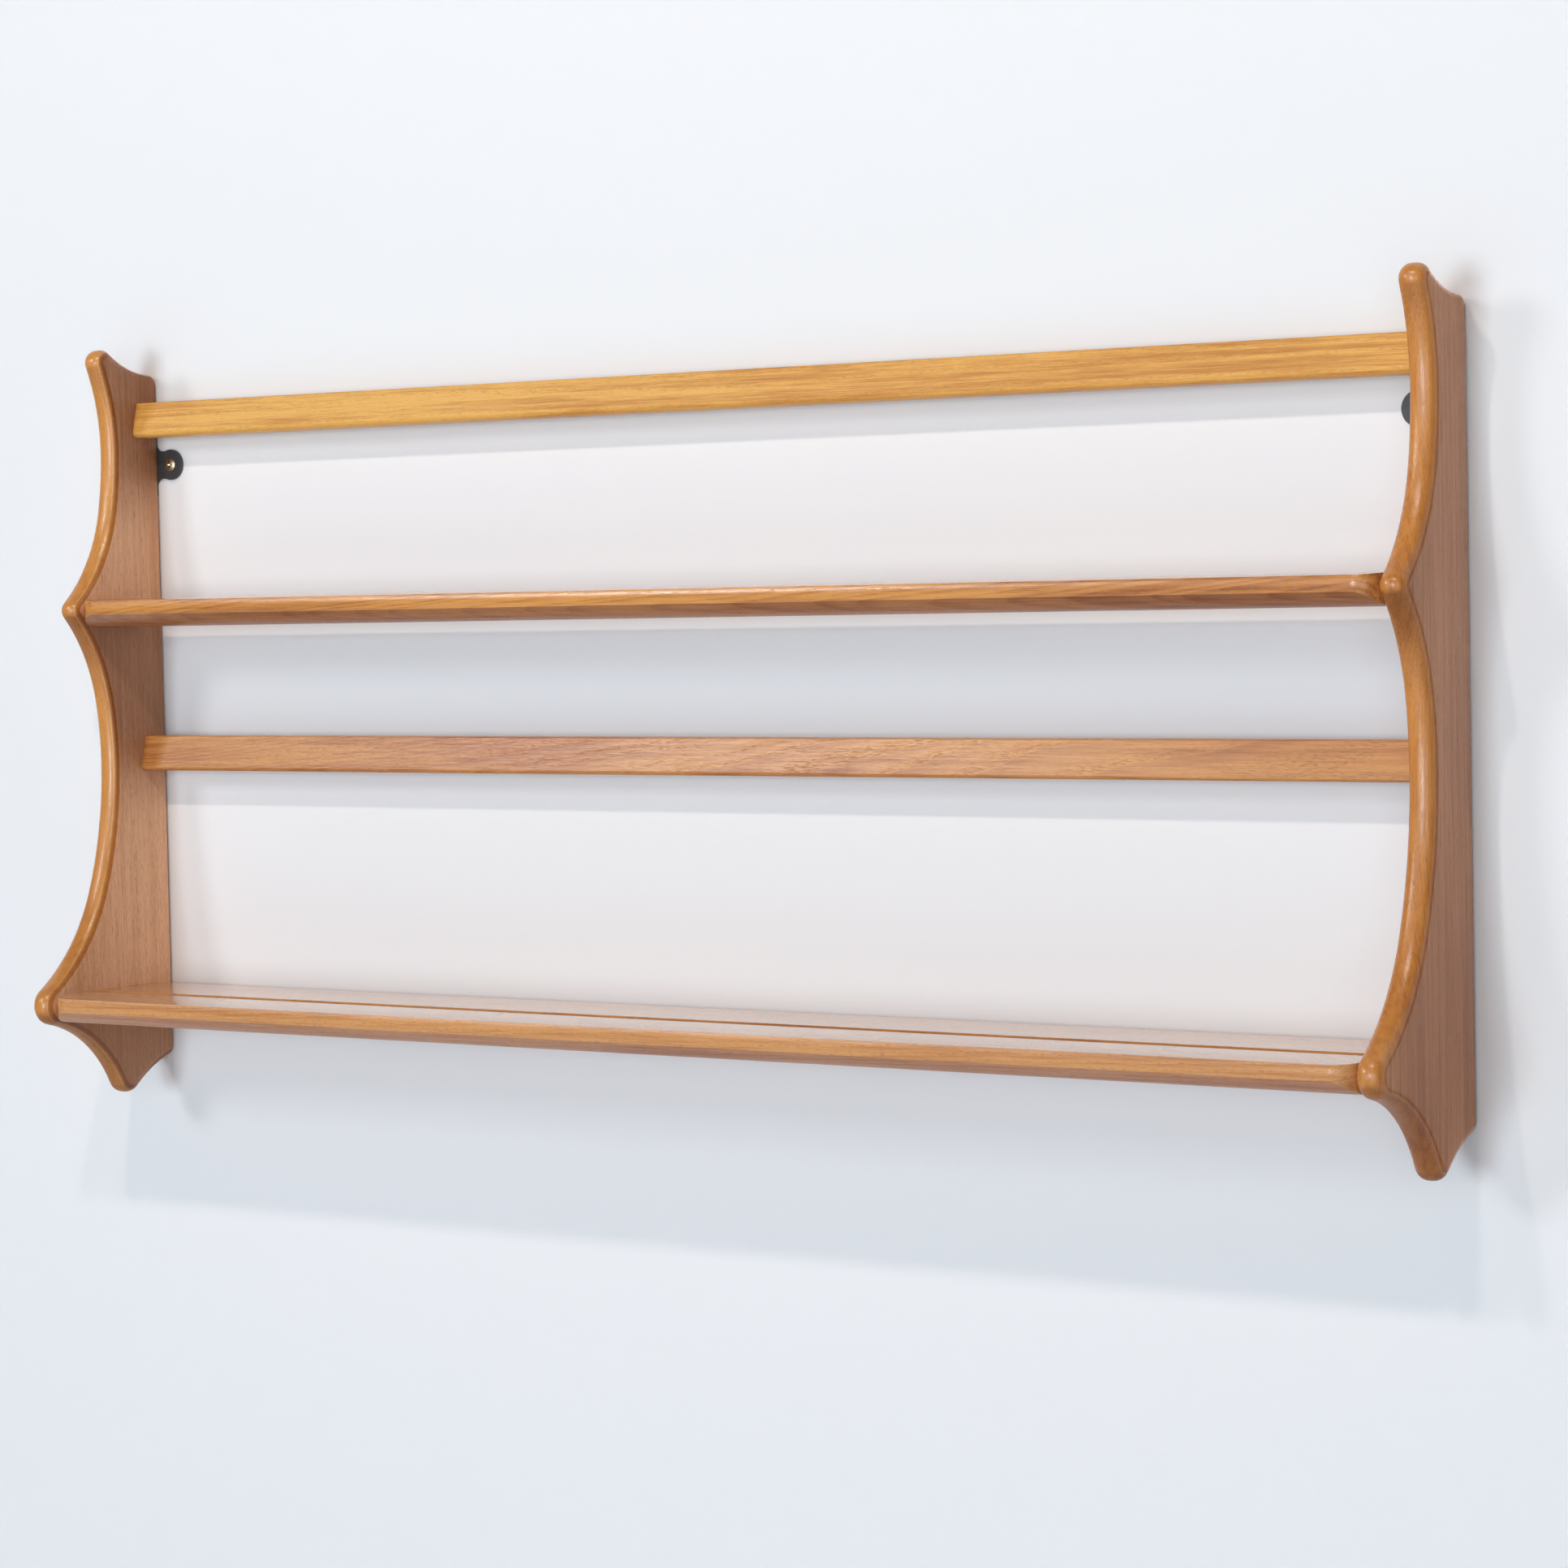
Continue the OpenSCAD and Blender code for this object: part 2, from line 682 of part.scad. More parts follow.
// The upper half of a plate's edge, from its outer corner to the tip of its lug. The first axis
// runs from the middle of the side towards the middle of the rack, the second up from the screw.
function plate_half() =
    let (
        half_w = side_t / 2 - plate_margin,
        half_neck = neck_h / 2,
        lug = [side_t / 2 + lug_reach, 0],
        blend_up = half_neck + neck_blend_r,
        blend_back = sqrt((lug_r + neck_blend_r) * (lug_r + neck_blend_r) - blend_up * blend_up),
        blend = [lug[0] - blend_back, blend_up],
        outer = [-half_w, plate_h / 2],
        inner = [half_w, plate_h / 2],
        root = [half_w, half_neck]
    )
    concat(
        round_corner([-half_w, 0], outer, inner, plate_corner_r),
        round_corner(outer, inner, root, plate_corner_r),
        round_corner(inner, root, [blend[0], half_neck], flare_r),
        arc(blend, neck_blend_r, 270, after(180, heading(blend, lug))),
        arc(lug, lug_r, heading(lug, blend), 0)
    );

// The whole edge: the upper half, then the same points mirrored, without doubling the lug's tip
function plate_edge() =
    let (top = plate_half(), n = len(top))
    concat(top, [for (k = [n - 2:-1:0]) [top[k][0], -top[k][1]]]);

// A countersunk hole along +Z that opens at z = 0 for a head of radius head_r
module countersink(head_r, neck_r, depth) {
    cone = head_r - neck_r;
    translate([0, 0, -cut_past])
        cylinder(h = depth + 2 * cut_past, r = neck_r + fit_clear, $fn = round_fn);
    translate([0, 0, -cut_past])
        cylinder(
            h = cone + cut_past,
            r1 = head_r + cut_past + fit_clear,
            r2 = neck_r + fit_clear,
            $fn = round_fn
        );
}

module left_hanging_plate() {
    color(plate_colour)
        difference() {
            translate([-side_middle_x, 0, 0])
                rotate([90, 0, 0])
                    linear_extrude(height = plate_t)
                        polygon(plate_edge());
            translate([-screw_x, -plate_t - wall_head_proud, 0])
                rotate([-90, 0, 0])
                    countersink(wall_head_r, wall_neck_r, plate_t + wall_head_proud);
            for (v = plate_screw_heights)
                translate([-side_middle_x, 0, v - screw_height])
                    rotate([90, 0, 0])
                        countersink(plate_head_r, plate_screw_r, plate_t);
        }
}

module right_hanging_plate() { on_right() left_hanging_plate(); }

// ---------------------------------------------------------------- screws

// The two screws that hold a plate to its side, their heads flush with the wall side of the plate
module left_plate_screws() {
    color(brass_colour)
        for (v = plate_screw_heights)
            translate([-side_middle_x, 0, v - screw_height])
                rotate([90, 0, 0])
                    screw(plate_head_r, 0, 0, plate_screw_r, plate_t, plate_screw_r, plate_screw_length);
}

module right_plate_screws() { on_right() left_plate_screws(); }

// The screw through a lug into the wall: its neck ends and its shank starts at the wall plane
module left_wall_screw() {
    head_y = plate_t + wall_head_proud;
    color(brass_colour)
        translate([-screw_x, -head_y, 0])
            rotate([-90, 0, 0])
                screw(
                    wall_head_r, 0, wall_dome_h,
                    wall_neck_r, head_y,
                    wall_screw_r, head_y + wall_screw_length
                );
}

module right_wall_screw() { on_right() left_wall_screw(); }

// ---------------------------------------------------------------- the rack

left_side();
right_side();
upper_shelf();
lower_shelf();
upper_rail();
middle_rail();
upper_shelf_left_dowels();
upper_shelf_right_dowels();
lower_shelf_left_dowels();
lower_shelf_right_dowels();
upper_rail_left_dowels();
upper_rail_right_dowels();
middle_rail_left_dowels();
middle_rail_right_dowels();
left_hanging_plate();
right_hanging_plate();
left_plate_screws();
right_plate_screws();
left_wall_screw();
right_wall_screw();
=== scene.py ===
"""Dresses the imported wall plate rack: oiled hardwood, black steel and brass, in front of a pale wall.

Everything is in metres in the rack's own frame: X runs along the rack, the front faces -Y, Z is up
and the origin lies on the wall plane, midway between the two wall screws.
"""

import logging
import math
from dataclasses import dataclass
from enum import Enum
from functools import cached_property

import bmesh
import bpy
from mathutils import Matrix, Vector

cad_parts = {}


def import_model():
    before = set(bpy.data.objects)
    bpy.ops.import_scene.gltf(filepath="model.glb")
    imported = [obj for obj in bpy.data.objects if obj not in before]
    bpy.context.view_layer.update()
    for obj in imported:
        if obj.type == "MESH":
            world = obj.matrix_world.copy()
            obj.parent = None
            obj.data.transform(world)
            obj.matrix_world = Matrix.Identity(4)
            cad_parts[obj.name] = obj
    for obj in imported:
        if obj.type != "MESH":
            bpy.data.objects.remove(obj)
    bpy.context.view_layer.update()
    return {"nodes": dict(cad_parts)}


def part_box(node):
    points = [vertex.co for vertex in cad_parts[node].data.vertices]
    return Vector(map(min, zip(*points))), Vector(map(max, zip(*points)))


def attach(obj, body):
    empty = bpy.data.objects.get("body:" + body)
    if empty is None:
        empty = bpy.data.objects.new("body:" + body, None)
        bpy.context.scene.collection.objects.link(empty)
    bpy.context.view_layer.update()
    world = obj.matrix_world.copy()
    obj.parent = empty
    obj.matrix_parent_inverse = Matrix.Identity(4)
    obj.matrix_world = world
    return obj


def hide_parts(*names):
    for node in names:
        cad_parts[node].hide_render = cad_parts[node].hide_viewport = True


LOG = logging.getLogger("plate_rack")
BODY = "root"
MM = 0.001

Colour = tuple[float, float, float]
Point = tuple[float, float, float]
Span = tuple[float, float, float, float]
Node = bpy.types.Node
Socket = bpy.types.NodeSocket

UP = (0.0, 0.0, 1.0)
DOWN = (0.0, 0.0, -1.0)
RIGHT = (1.0, 0.0, 0.0)
FRONT = (0.0, -1.0, 0.0)


def srgb(red: int, green: int, blue: int) -> Colour:
    """A colour that is written in screen values from 0 to 255.

    Args:
        red: The red value.
        green: The green value.
        blue: The blue value.

    Returns:
        The same colour in linear values from 0 to 1.
    """

    def linear(value: int) -> float:
        """One channel in linear light."""
        share = value / 255
        return share / 12.92 if share <= 0.04045 else ((share + 0.055) / 1.055) ** 2.4

    return linear(red), linear(green), linear(blue)


# ---------------------------------------------------------------- node graphs


class Graph:
    """Adds nodes to one material, world or modifier tree and wires them together."""

    def __init__(self, tree: bpy.types.NodeTree) -> None:
        """Starts on an empty tree.

        Args:
            tree: The tree to fill.
        """
        self.tree = tree
        tree.nodes.clear()

    @cached_property
    def where(self) -> Socket:
        """The place on the piece, in the rack's own frame."""
        return self.node("ShaderNodeTexCoord").outputs["Object"]

    @cached_property
    def normal(self) -> Socket:
        """The way the surface looks."""
        return self.node("ShaderNodeNewGeometry").outputs["Normal"]

    def node(self, kind: str, inputs: dict | None = None, **settings: object) -> Node:
        """Adds a node.

        Args:
            kind: Blender's name of the node's type.
            inputs: What its inputs get, by their name or number.
            settings: The node's own properties.

        Returns:
            The new node.
        """
        made = self.tree.nodes.new(kind)
        for name, value in settings.items():
            setattr(made, name, value)
        for name, value in (inputs or {}).items():
            self.feed(made.inputs[name], value)
        return made

    def feed(self, socket: Socket, value: object) -> None:
        """Gives an input a value, or a wire from another node's output.

        Args:
            socket: The input.
            value: A number, a colour, a vector, a text or an output socket.
        """
        if isinstance(value, Socket):
            self.tree.links.new(value, socket)
        elif socket.type == "RGBA":
            socket.default_value = (*value, 1.0)
        else:
            socket.default_value = value

    def math(self, operation: str, *values: object) -> Socket:
        """The result of a Math node on one to three values."""
        return self.node("ShaderNodeMath", dict(enumerate(values)), operation=operation).outputs[0]

    def vector(self, operation: str, *values: object, result: str = "Vector") -> Socket:
        """One result of a Vector Math node on two vectors."""
        made = self.node("ShaderNodeVectorMath", dict(enumerate(values)), operation=operation)
        return made.outputs[result]

    def split(self, vector: Socket) -> list[Socket]:
        """The three numbers of a vector."""
        return list(self.node("ShaderNodeSeparateXYZ", {0: vector}).outputs)

    def towards(self, way: Point) -> Socket:
        """How far the surface looks one way, as the cosine of the angle between them."""
        return self.vector("DOT_PRODUCT", self.normal, way, result="Value")

    def facing(self, way: Point, start: float = 0.6, full: float = 0.9) -> Socket:
        """How fully the surface counts as looking one way: not at all at start, fully from full on."""
        return self.remap(self.towards(way), start, full)

    def noise(self, where: Socket, scale: Point, detail: float = 2.0, roughness: float = 0.5) -> Socket:
        """A noise.

        Args:
            where: The place.
            scale: How many of its marks lie to a metre, along each axis.
            detail: How many finer layers it has.
            roughness: How strong the finer layers are.

        Returns:
            The noise, which mostly lies between 0.3 and 0.7.
        """
        stretched = self.vector("MULTIPLY", where, scale)
        inputs = {"Vector": stretched, "Scale": 1.0, "Detail": detail, "Roughness": roughness}
        return self.node("ShaderNodeTexNoise", inputs).outputs[0]

    def remap(
        self, value: object, low: float, high: float, to_low: float = 0.0, to_high: float = 1.0
    ) -> Socket:
        """Eases a value from one range to another and holds it at the ends.

        Args:
            value: The value.
            low: Where the range starts.
            high: Where the range ends.
            to_low: The result at low.
            to_high: The result at high.

        Returns:
            The eased value.
        """
        inputs = {"Value": value, "From Min": low, "From Max": high, "To Min": to_low, "To Max": to_high}
        return self.node("ShaderNodeMapRange", inputs, interpolation_type="SMOOTHSTEP").outputs[0]

    def within(self, value: Socket, span: Span) -> Socket:
        """How far a value lies within a span with soft ends.

        Args:
            value: The value.
            span: Where the result starts to rise, is full, starts to drop, and is back at 0.

        Returns:
            A value from 0 to 1.
        """
        start, full, late, end = span
        rise = self.remap(value, start, full)
        return self.math("MULTIPLY", rise, self.remap(value, late, end, 1.0, 0.0))

    def mix(self, factor: object, first: object, second: object, mode: str = "MIX") -> Socket:
        """Mixes two colours.

        Args:
            factor: The share of the second colour.
            first: The colour at a factor of 0.
            second: The colour at a factor of 1.
            mode: How the second is laid on the first.

        Returns:
            The mixed colour.
        """
        inputs = {0: factor, 6: first, 7: second}
        return self.node("ShaderNodeMix", inputs, data_type="RGBA", blend_type=mode).outputs[2]

    def toned(self, level: object, colour: object, tone: Colour) -> Socket:
        """A colour that is multiplied by a tone as far as level says."""
        return self.mix(level, colour, self.mix(1.0, colour, tone, "MULTIPLY"))

    def bump(
        self, height: Socket, distance: float, strength: float, over: Socket | None = None
    ) -> Socket:
        """Normals that follow a height.

        Args:
            height: The height, from 0 to 1.
            distance: How deep that height is, in metres.
            strength: The share of it that shows.
            over: The normals of finer bumps that these are added to.

        Returns:
            The normals.
        """
        inputs = {"Height": height, "Distance": distance, "Strength": strength}
        if over:
            inputs["Normal"] = over
        return self.node("ShaderNodeBump", inputs).outputs[0]

    def shader(self, **values: object) -> Node:
        """A Principled shader, given its inputs by name, with _ for a space."""
        inputs = {name.replace("_", " "): value for name, value in values.items()}
        return self.node("ShaderNodeBsdfPrincipled", inputs)

    def blend(self, factor: object, first: Node, second: Node) -> Node:
        """Mixes two shaders: factor is the share of the second."""
        inputs = {0: factor, 1: first.outputs[0], 2: second.outputs[0]}
        return self.node("ShaderNodeMixShader", inputs)

    def finish(self, shader: Node) -> None:
        """Wires a shader to the material's output."""
        self.node("ShaderNodeOutputMaterial", {"Surface": shader.outputs[0]})


def new_material(name: str) -> tuple[bpy.types.Material, Graph]:
    """Makes an empty node material.

    Args:
        name: The material's name.

    Returns:
        The material and the graph that fills it.
    """
    material = bpy.data.materials.new(name)
    material.use_nodes = True
    return material, Graph(material.node_tree)


def new_piece(name: str, mesh: bmesh.types.BMesh) -> bpy.types.Object:
    """Adds an object to the scene.

    Args:
        name: The object's name.
        mesh: Its shape, which is freed.

    Returns:
        The object.
    """
    data = bpy.data.meshes.new(name)
    mesh.to_mesh(data)
    mesh.free()
    piece = bpy.data.objects.new(name, data)
    bpy.context.scene.collection.objects.link(piece)
    return piece


# ---------------------------------------------------------------- finishes


class Grain(Enum):
    """Which way the fibres of a piece run: the axes along them, across and through."""

    ALONG_RACK = (0, 1, 2)
    UPRIGHT = (2, 1, 0)


@dataclass(frozen=True)
class Facing:
    """The surfaces of a piece that look one way, and how their finish departs from the rest.

    The change starts where a surface turns to within start of that way, as a cosine, and is full
    from full on. tone multiplies the colour; on the sides and shelves it paints shade on faces that
    turn away from the light, and paints in light and reflections on faces that catch them. gloss,
    sheen and lacquer are added to the roughness, to the strength of the reflections and to the
    share of clear coat.
    """

    way: Point
    start: float
    full: float
    tone: Colour = (1.0, 1.0, 1.0)
    gloss: float = 0.0
    sheen: float = 0.0
    lacquer: float = 0.0


@dataclass(frozen=True)
class Marks:
    """The marks of a noise in the wood: how many lie to a metre, and their finer layers."""

    along: float
    across: float
    detail: float
    roughness: float


@dataclass(frozen=True)
class PaleArrisLine:
    """A pale line along an arris, where a rounded edge turns towards one way: partly worn wood, partly a
    painted highlight that the arris catches.

    Its line lies where the cosine to that way is middle, within width, and wander is how far hand
    work leads it aside.
    """

    way: Point
    middle: float
    width: float
    strength: float
    colour: Colour
    wander: float = 0.16
    marks: Marks = Marks(45.0, 45.0, 3.0, 0.6)


@dataclass(frozen=True)
class PaintedShadeSpans:
    """The spans of a face, close under the boards, where painted shade darkens the wood.

    Each span is four heights: where it starts to darken, where it is full, where it starts to
    fade, and where it ends.
    """

    way: Point
    tone: Colour
    spans: tuple[Span, ...]


@dataclass(frozen=True)
class Crown:
    """A front face that hand sanding has left slightly round, from one arris to the other."""

    middle: float
    half: float = 4.6 * MM
    rise: float = 0.9 * MM


@dataclass(frozen=True)
class Timber:
    """An oiled hardwood, cut from a log whose growth rings run round a heart outside the piece.

    heart is the heart's place across and through the piece, and lean is how far it drifts over one
    metre of grain. ring is the width of a growth ring. figure says how dark the late wood is, and
    fineness how strongly streaks and fibres show. tint is the cast of cloudy patches. gloss is the
    roughness, sheen the strength of the reflections and lacquer the share of clear coat.
    """

    name: str
    grain: Grain
    pale: Colour
    dark: Colour
    pore: Colour
    heart: tuple[float, float]
    lean: tuple[float, float]
    ring: float = 3.2 * MM
    seed: int = 0
    tint: Colour = (1.0, 1.0, 1.0)
    figure: float = 0.5
    fineness: float = 1.0
    gloss: float = 0.38
    sheen: float = 0.4
    lacquer: float = 0.0
    lacquer_gloss: float = 0.2
    facings: tuple[Facing, ...] = ()
    arris: PaleArrisLine | None = None
    crown: Crown | None = None
    shadow: PaintedShadeSpans | None = None
    # How the rings run: their long waves, their ripples and their uneven widths.
    waves: Marks = Marks(2.2, 14.0, 2.0, 0.55)
    wave_height: float = 16.0 * MM
    ripples: Marks = Marks(22.0, 60.0, 1.0, 0.5)
    ripple_height: float = 0.9 * MM
    unevenness: float = 2.2
    runs: float = 0.45
    # Which part of a ring is dark late wood, and how far the porous early wood goes on.
    late_wood: Span = (0.35, 0.9, 0.93, 1.0)
    early_end: float = 0.5
    late_pores: float = 0.35
    # The marks in the wood, and how much of the dark colour each of them takes or gives.
    fibres: Marks = Marks(30.0, 1500.0, 4.0, 0.7)
    streaks: Marks = Marks(5.0, 240.0, 3.0, 0.6)
    clouds: Marks = Marks(4.0, 16.0, 2.0, 0.5)
    vessels: Marks = Marks(230.0, 2300.0, 1.0, 0.5)
    depth: float = 0.22
    fibre_depth: float = 0.32
    streak_depth: float = 0.25
    cloud_thin: float = -0.15
    cloud_thick: float = 0.25
    cast: float = 0.8
    # How the pores and fibres change the surface.
    gloss_spread: float = 0.12
    pore_stain: float = 0.4
    pore_roughness: float = 0.2
    pore_fall: float = -0.9
    fibre_rise: float = 0.35
    relief: float = 0.08 * MM
    relief_shown: float = 0.4

    def marked(self, graph: Graph, marks: Marks) -> Socket:
        """A noise from this piece's own part of it, drawn out along the grain.

        Args:
            graph: The material's graph.
            marks: The noise's marks.

        Returns:
            The noise.
        """
        scale = [marks.across] * 3
        scale[self.grain.value[0]] = marks.along
        own = graph.vector("ADD", graph.where, (self.seed * 1.37, self.seed * 0.71, self.seed * 2.13))
        return graph.noise(own, tuple(scale), marks.detail, marks.roughness)

    def rings(self, graph: Graph) -> Socket:
        """How far a point lies through its growth ring.

        Args:
            graph: The material's graph.

        Returns:
            A value that runs from 0 at the start of a ring's growth to 1 at its end.
        """
        split = graph.split(graph.where)
        along, across, through = (split[axis] for axis in self.grain.value)
        wave = self.marked(graph, self.waves)
        squares = []
        for spot, heart, lean in zip((across, through), self.heart, self.lean):
            drifted = graph.math("MULTIPLY_ADD", along, lean, heart)
            offset = graph.math("SUBTRACT", spot, drifted)
            offset = graph.math("MULTIPLY_ADD", wave, self.wave_height, offset)
            squares.append(graph.math("MULTIPLY", offset, offset))
        radius = graph.math("SQRT", graph.math("ADD", *squares))
        ripple = self.marked(graph, self.ripples)
        radius = graph.math("MULTIPLY_ADD", ripple, self.ripple_height, radius)
        count = graph.math("DIVIDE", radius, self.ring)
        inputs = {"W": count, "Scale": self.runs, "Detail": 1.0}
        uneven = graph.node("ShaderNodeTexNoise", inputs, noise_dimensions="1D").outputs[0]
        return graph.math("FRACT", graph.math("MULTIPLY_ADD", uneven, self.unevenness, count))

    def figured(self, graph: Graph, ring: Socket, fibre: Socket) -> Socket:
        """The colour of the bare wood: rings, streaks, fibres and clouds.

        Args:
            graph: The material's graph.
            ring: How far a point lies through its growth ring.
            fibre: The fibres.

        Returns:
            The colour.
        """
        streak = self.marked(graph, self.streaks)
        streak = graph.remap(streak, 0.35, 0.7, -self.streak_depth, self.streak_depth)
        strand = graph.remap(fibre, 0.3, 0.7, -self.fibre_depth, self.fibre_depth)
        fine = graph.math("MULTIPLY_ADD", graph.math("ADD", streak, strand), self.fineness, self.depth)
        depth = graph.math("MULTIPLY_ADD", graph.within(ring, self.late_wood), self.figure, fine)
        cloud = self.marked(graph, self.clouds)
        depth = graph.math("ADD", depth, graph.remap(cloud, 0.3, 0.7, self.cloud_thin, self.cloud_thick))
        wood = graph.mix(depth, self.pale, self.dark)
        return graph.toned(graph.remap(cloud, 0.4, 0.75, 0.0, self.cast), wood, self.tint)

    def paled(self, graph: Graph, wood: Socket) -> Socket:
        """Paints the pale arris line: worn wood and a painted highlight together.

        Args:
            graph: The material's graph.
            wood: The wood's colour.

        Returns:
            The colour with the pale line.
        """
        arris_line = self.arris
        wander = self.marked(graph, arris_line.marks)
        turn = graph.math("MULTIPLY_ADD", wander, arris_line.wander, graph.towards(arris_line.way))
        off = graph.math("ABSOLUTE", graph.math("SUBTRACT", turn, arris_line.middle + arris_line.wander / 2))
        line = graph.remap(off, 0.0, arris_line.width, arris_line.strength, 0.0)
        return graph.mix(graph.math("MULTIPLY", line, graph.remap(wander, 0.3, 0.55)), wood, arris_line.colour)

    def shaded(self, graph: Graph, wood: Socket) -> Socket:
        """Paints shade into the spans.

        Args:
            graph: The material's graph.
            wood: The wood's colour.

        Returns:
            The colour with the spans.
        """
        height = graph.split(graph.where)[2]
        level = 0.0
        for span in self.shadow.spans:
            level = graph.math("MAXIMUM", level, graph.within(height, span))
        level = graph.math("MULTIPLY", level, graph.facing(self.shadow.way))
        return graph.toned(level, wood, self.shadow.tone)

    def crowned(self, graph: Graph, bumps: Socket) -> Socket:
        """Rounds the front face.

        Args:
            graph: The material's graph.
            bumps: The normals of the finer relief.

        Returns:
            The normals of both.
        """
        off = graph.math("SUBTRACT", graph.split(graph.where)[2], self.crown.middle)
        off = graph.math("DIVIDE", off, self.crown.half)
        fall = graph.math("MULTIPLY", graph.math("MULTIPLY", off, off), -1.0)
        return graph.bump(graph.math("MULTIPLY", fall, graph.facing(FRONT)), self.crown.rise, 1.0, bumps)

    def build(self) -> bpy.types.Material:
        """Makes the material.

        Returns:
            The finished material.
        """
        material, graph = new_material(self.name)
        ring = self.rings(graph)
        fibre = self.marked(graph, self.fibres)
        porous = graph.remap(ring, 0.0, self.early_end, 1.0, self.late_pores)
        vessel = self.marked(graph, self.vessels)
        pores = graph.math("MULTIPLY", graph.remap(vessel, 0.5, 0.64), porous)

        wood = self.figured(graph, ring, fibre)
        # The pale arris line is partly worn wood and partly a painted highlight.
        if self.arris:
            wood = self.paled(graph, wood)
        shine = graph.math("MULTIPLY_ADD", fibre, self.gloss_spread, self.gloss - self.gloss_spread / 2)
        sheen, lacquer = self.sheen, self.lacquer
        for side in self.facings:
            level = graph.facing(side.way, side.start, side.full)
            wood = graph.toned(level, wood, side.tone)
            shine = graph.math("MULTIPLY_ADD", level, side.gloss, shine)
            sheen = graph.math("MULTIPLY_ADD", level, side.sheen, sheen)
            lacquer = graph.math("MULTIPLY_ADD", level, side.lacquer, lacquer)
        # Painted shade in the dark spans of the face.
        if self.shadow:
            wood = self.shaded(graph, wood)

        raised = graph.math("MULTIPLY", fibre, self.fibre_rise)
        height = graph.math("MULTIPLY_ADD", pores, self.pore_fall, raised)
        bumps = graph.bump(height, self.relief, self.relief_shown)
        if self.crown:
            bumps = self.crowned(graph, bumps)
        shader = graph.shader(
            Base_Color=graph.mix(graph.math("MULTIPLY", pores, self.pore_stain), wood, self.pore),
            Roughness=graph.math("MULTIPLY_ADD", pores, self.pore_roughness, shine),
            IOR=1.47,
            Specular_IOR_Level=sheen,
            Coat_Weight=lacquer,
            Coat_Roughness=self.lacquer_gloss,
            Normal=bumps,
        )
        graph.finish(shader)
        return material


@dataclass(frozen=True)
class PaintedSteel:
    """Sheet steel under satin black paint, with a faint orange peel and dull handling marks."""

    name: str = "black_steel"
    colour: Colour = (0.035, 0.036, 0.040)
    worn: Colour = (0.075, 0.076, 0.080)

    def build(self) -> bpy.types.Material:
        """Makes the material.

        Returns:
            The finished material.
        """
        material, graph = new_material(self.name)
        peel = graph.noise(graph.where, (1400.0, 1400.0, 1400.0))
        marks = graph.noise(graph.where, (240.0, 240.0, 90.0), 3.0, 0.6)
        edge = graph.node("ShaderNodeNewGeometry").outputs["Pointiness"]
        handled = graph.remap(marks, 0.55, 0.8, 0.0, 0.4)
        paled = graph.math("ADD", graph.remap(edge, 0.52, 0.62), handled)
        shader = graph.shader(
            Base_Color=graph.mix(paled, self.colour, self.worn),
            Roughness=graph.remap(marks, 0.3, 0.7, 0.34, 0.5),
            IOR=1.5,
            Normal=graph.bump(peel, 0.03 * MM, 0.5),
        )
        graph.finish(shader)
        return material


@dataclass(frozen=True)
class Brass:
    """Plain turned brass, slightly dulled, with fine turning marks round the screw."""

    name: str = "brass"
    bright: Colour = (0.62, 0.51, 0.35)
    dull: Colour = (0.36, 0.28, 0.19)

    def build(self) -> bpy.types.Material:
        """Makes the material.

        Returns:
            The finished material.
        """
        material, graph = new_material(self.name)
        film = graph.noise(graph.where, (520.0, 520.0, 520.0), 3.0, 0.6)
        turning = graph.noise(graph.where, (700.0, 9000.0, 700.0), 1.0)
        shader = graph.shader(
            Base_Color=graph.mix(graph.remap(film, 0.35, 0.75), self.bright, self.dull),
            Metallic=1.0,
            Roughness=graph.remap(film, 0.3, 0.7, 0.22, 0.42),
            Normal=graph.bump(turning, 0.02 * MM, 0.4),
        )
        graph.finish(shader)
        return material


@dataclass(frozen=True)
class Plaster:
    """The pale wall and floor, seen from the room only: from behind they let the view through.

    Lamps shine through them, so that the faces that lie against the wall are lit in a view from
    behind. No lamp of the room stands behind the wall, so the room's own light stays as it is. The
    camera sees the floor in an even colour: evenness is its share there, and it fades out over the
    first stretch of wall above, fade metres high.
    """

    name: str = "pale_wall"
    colour: Colour = (0.86, 0.86, 0.88)
    floor: Colour = (0.74, 0.74, 0.76)
    floor_at: float = -2.2
    fade: float = 0.8
    evenness: float = 0.75
    roughness: float = 0.75
    trowel_depth: float = 1.2 * MM
    trowel_shown: float = 0.25

    def build(self) -> bpy.types.Material:
        """Makes the material.

        Returns:
            The finished material.
        """
        material, graph = new_material(self.name)
        trowelled = graph.noise(graph.where, (9.0, 9.0, 9.0), 4.0, 0.5)
        relief = graph.bump(trowelled, self.trowel_depth, self.trowel_shown)
        wall = graph.shader(Base_Color=self.colour, Roughness=self.roughness, Normal=relief)
        back = graph.node("ShaderNodeNewGeometry").outputs["Backfacing"]
        path = graph.node("ShaderNodeLightPath").outputs
        height = graph.split(graph.where)[2]
        low = graph.remap(height, self.floor_at, self.floor_at + self.fade, self.evenness, 0.0)
        floor = graph.node("ShaderNodeEmission", {"Color": self.floor})
        room = graph.blend(graph.math("MULTIPLY", low, path["Is Camera Ray"]), wall, floor)
        clear = graph.node("ShaderNodeBsdfTransparent")
        graph.finish(graph.blend(graph.math("MAXIMUM", back, path["Is Shadow Ray"]), room, clear))
        return material


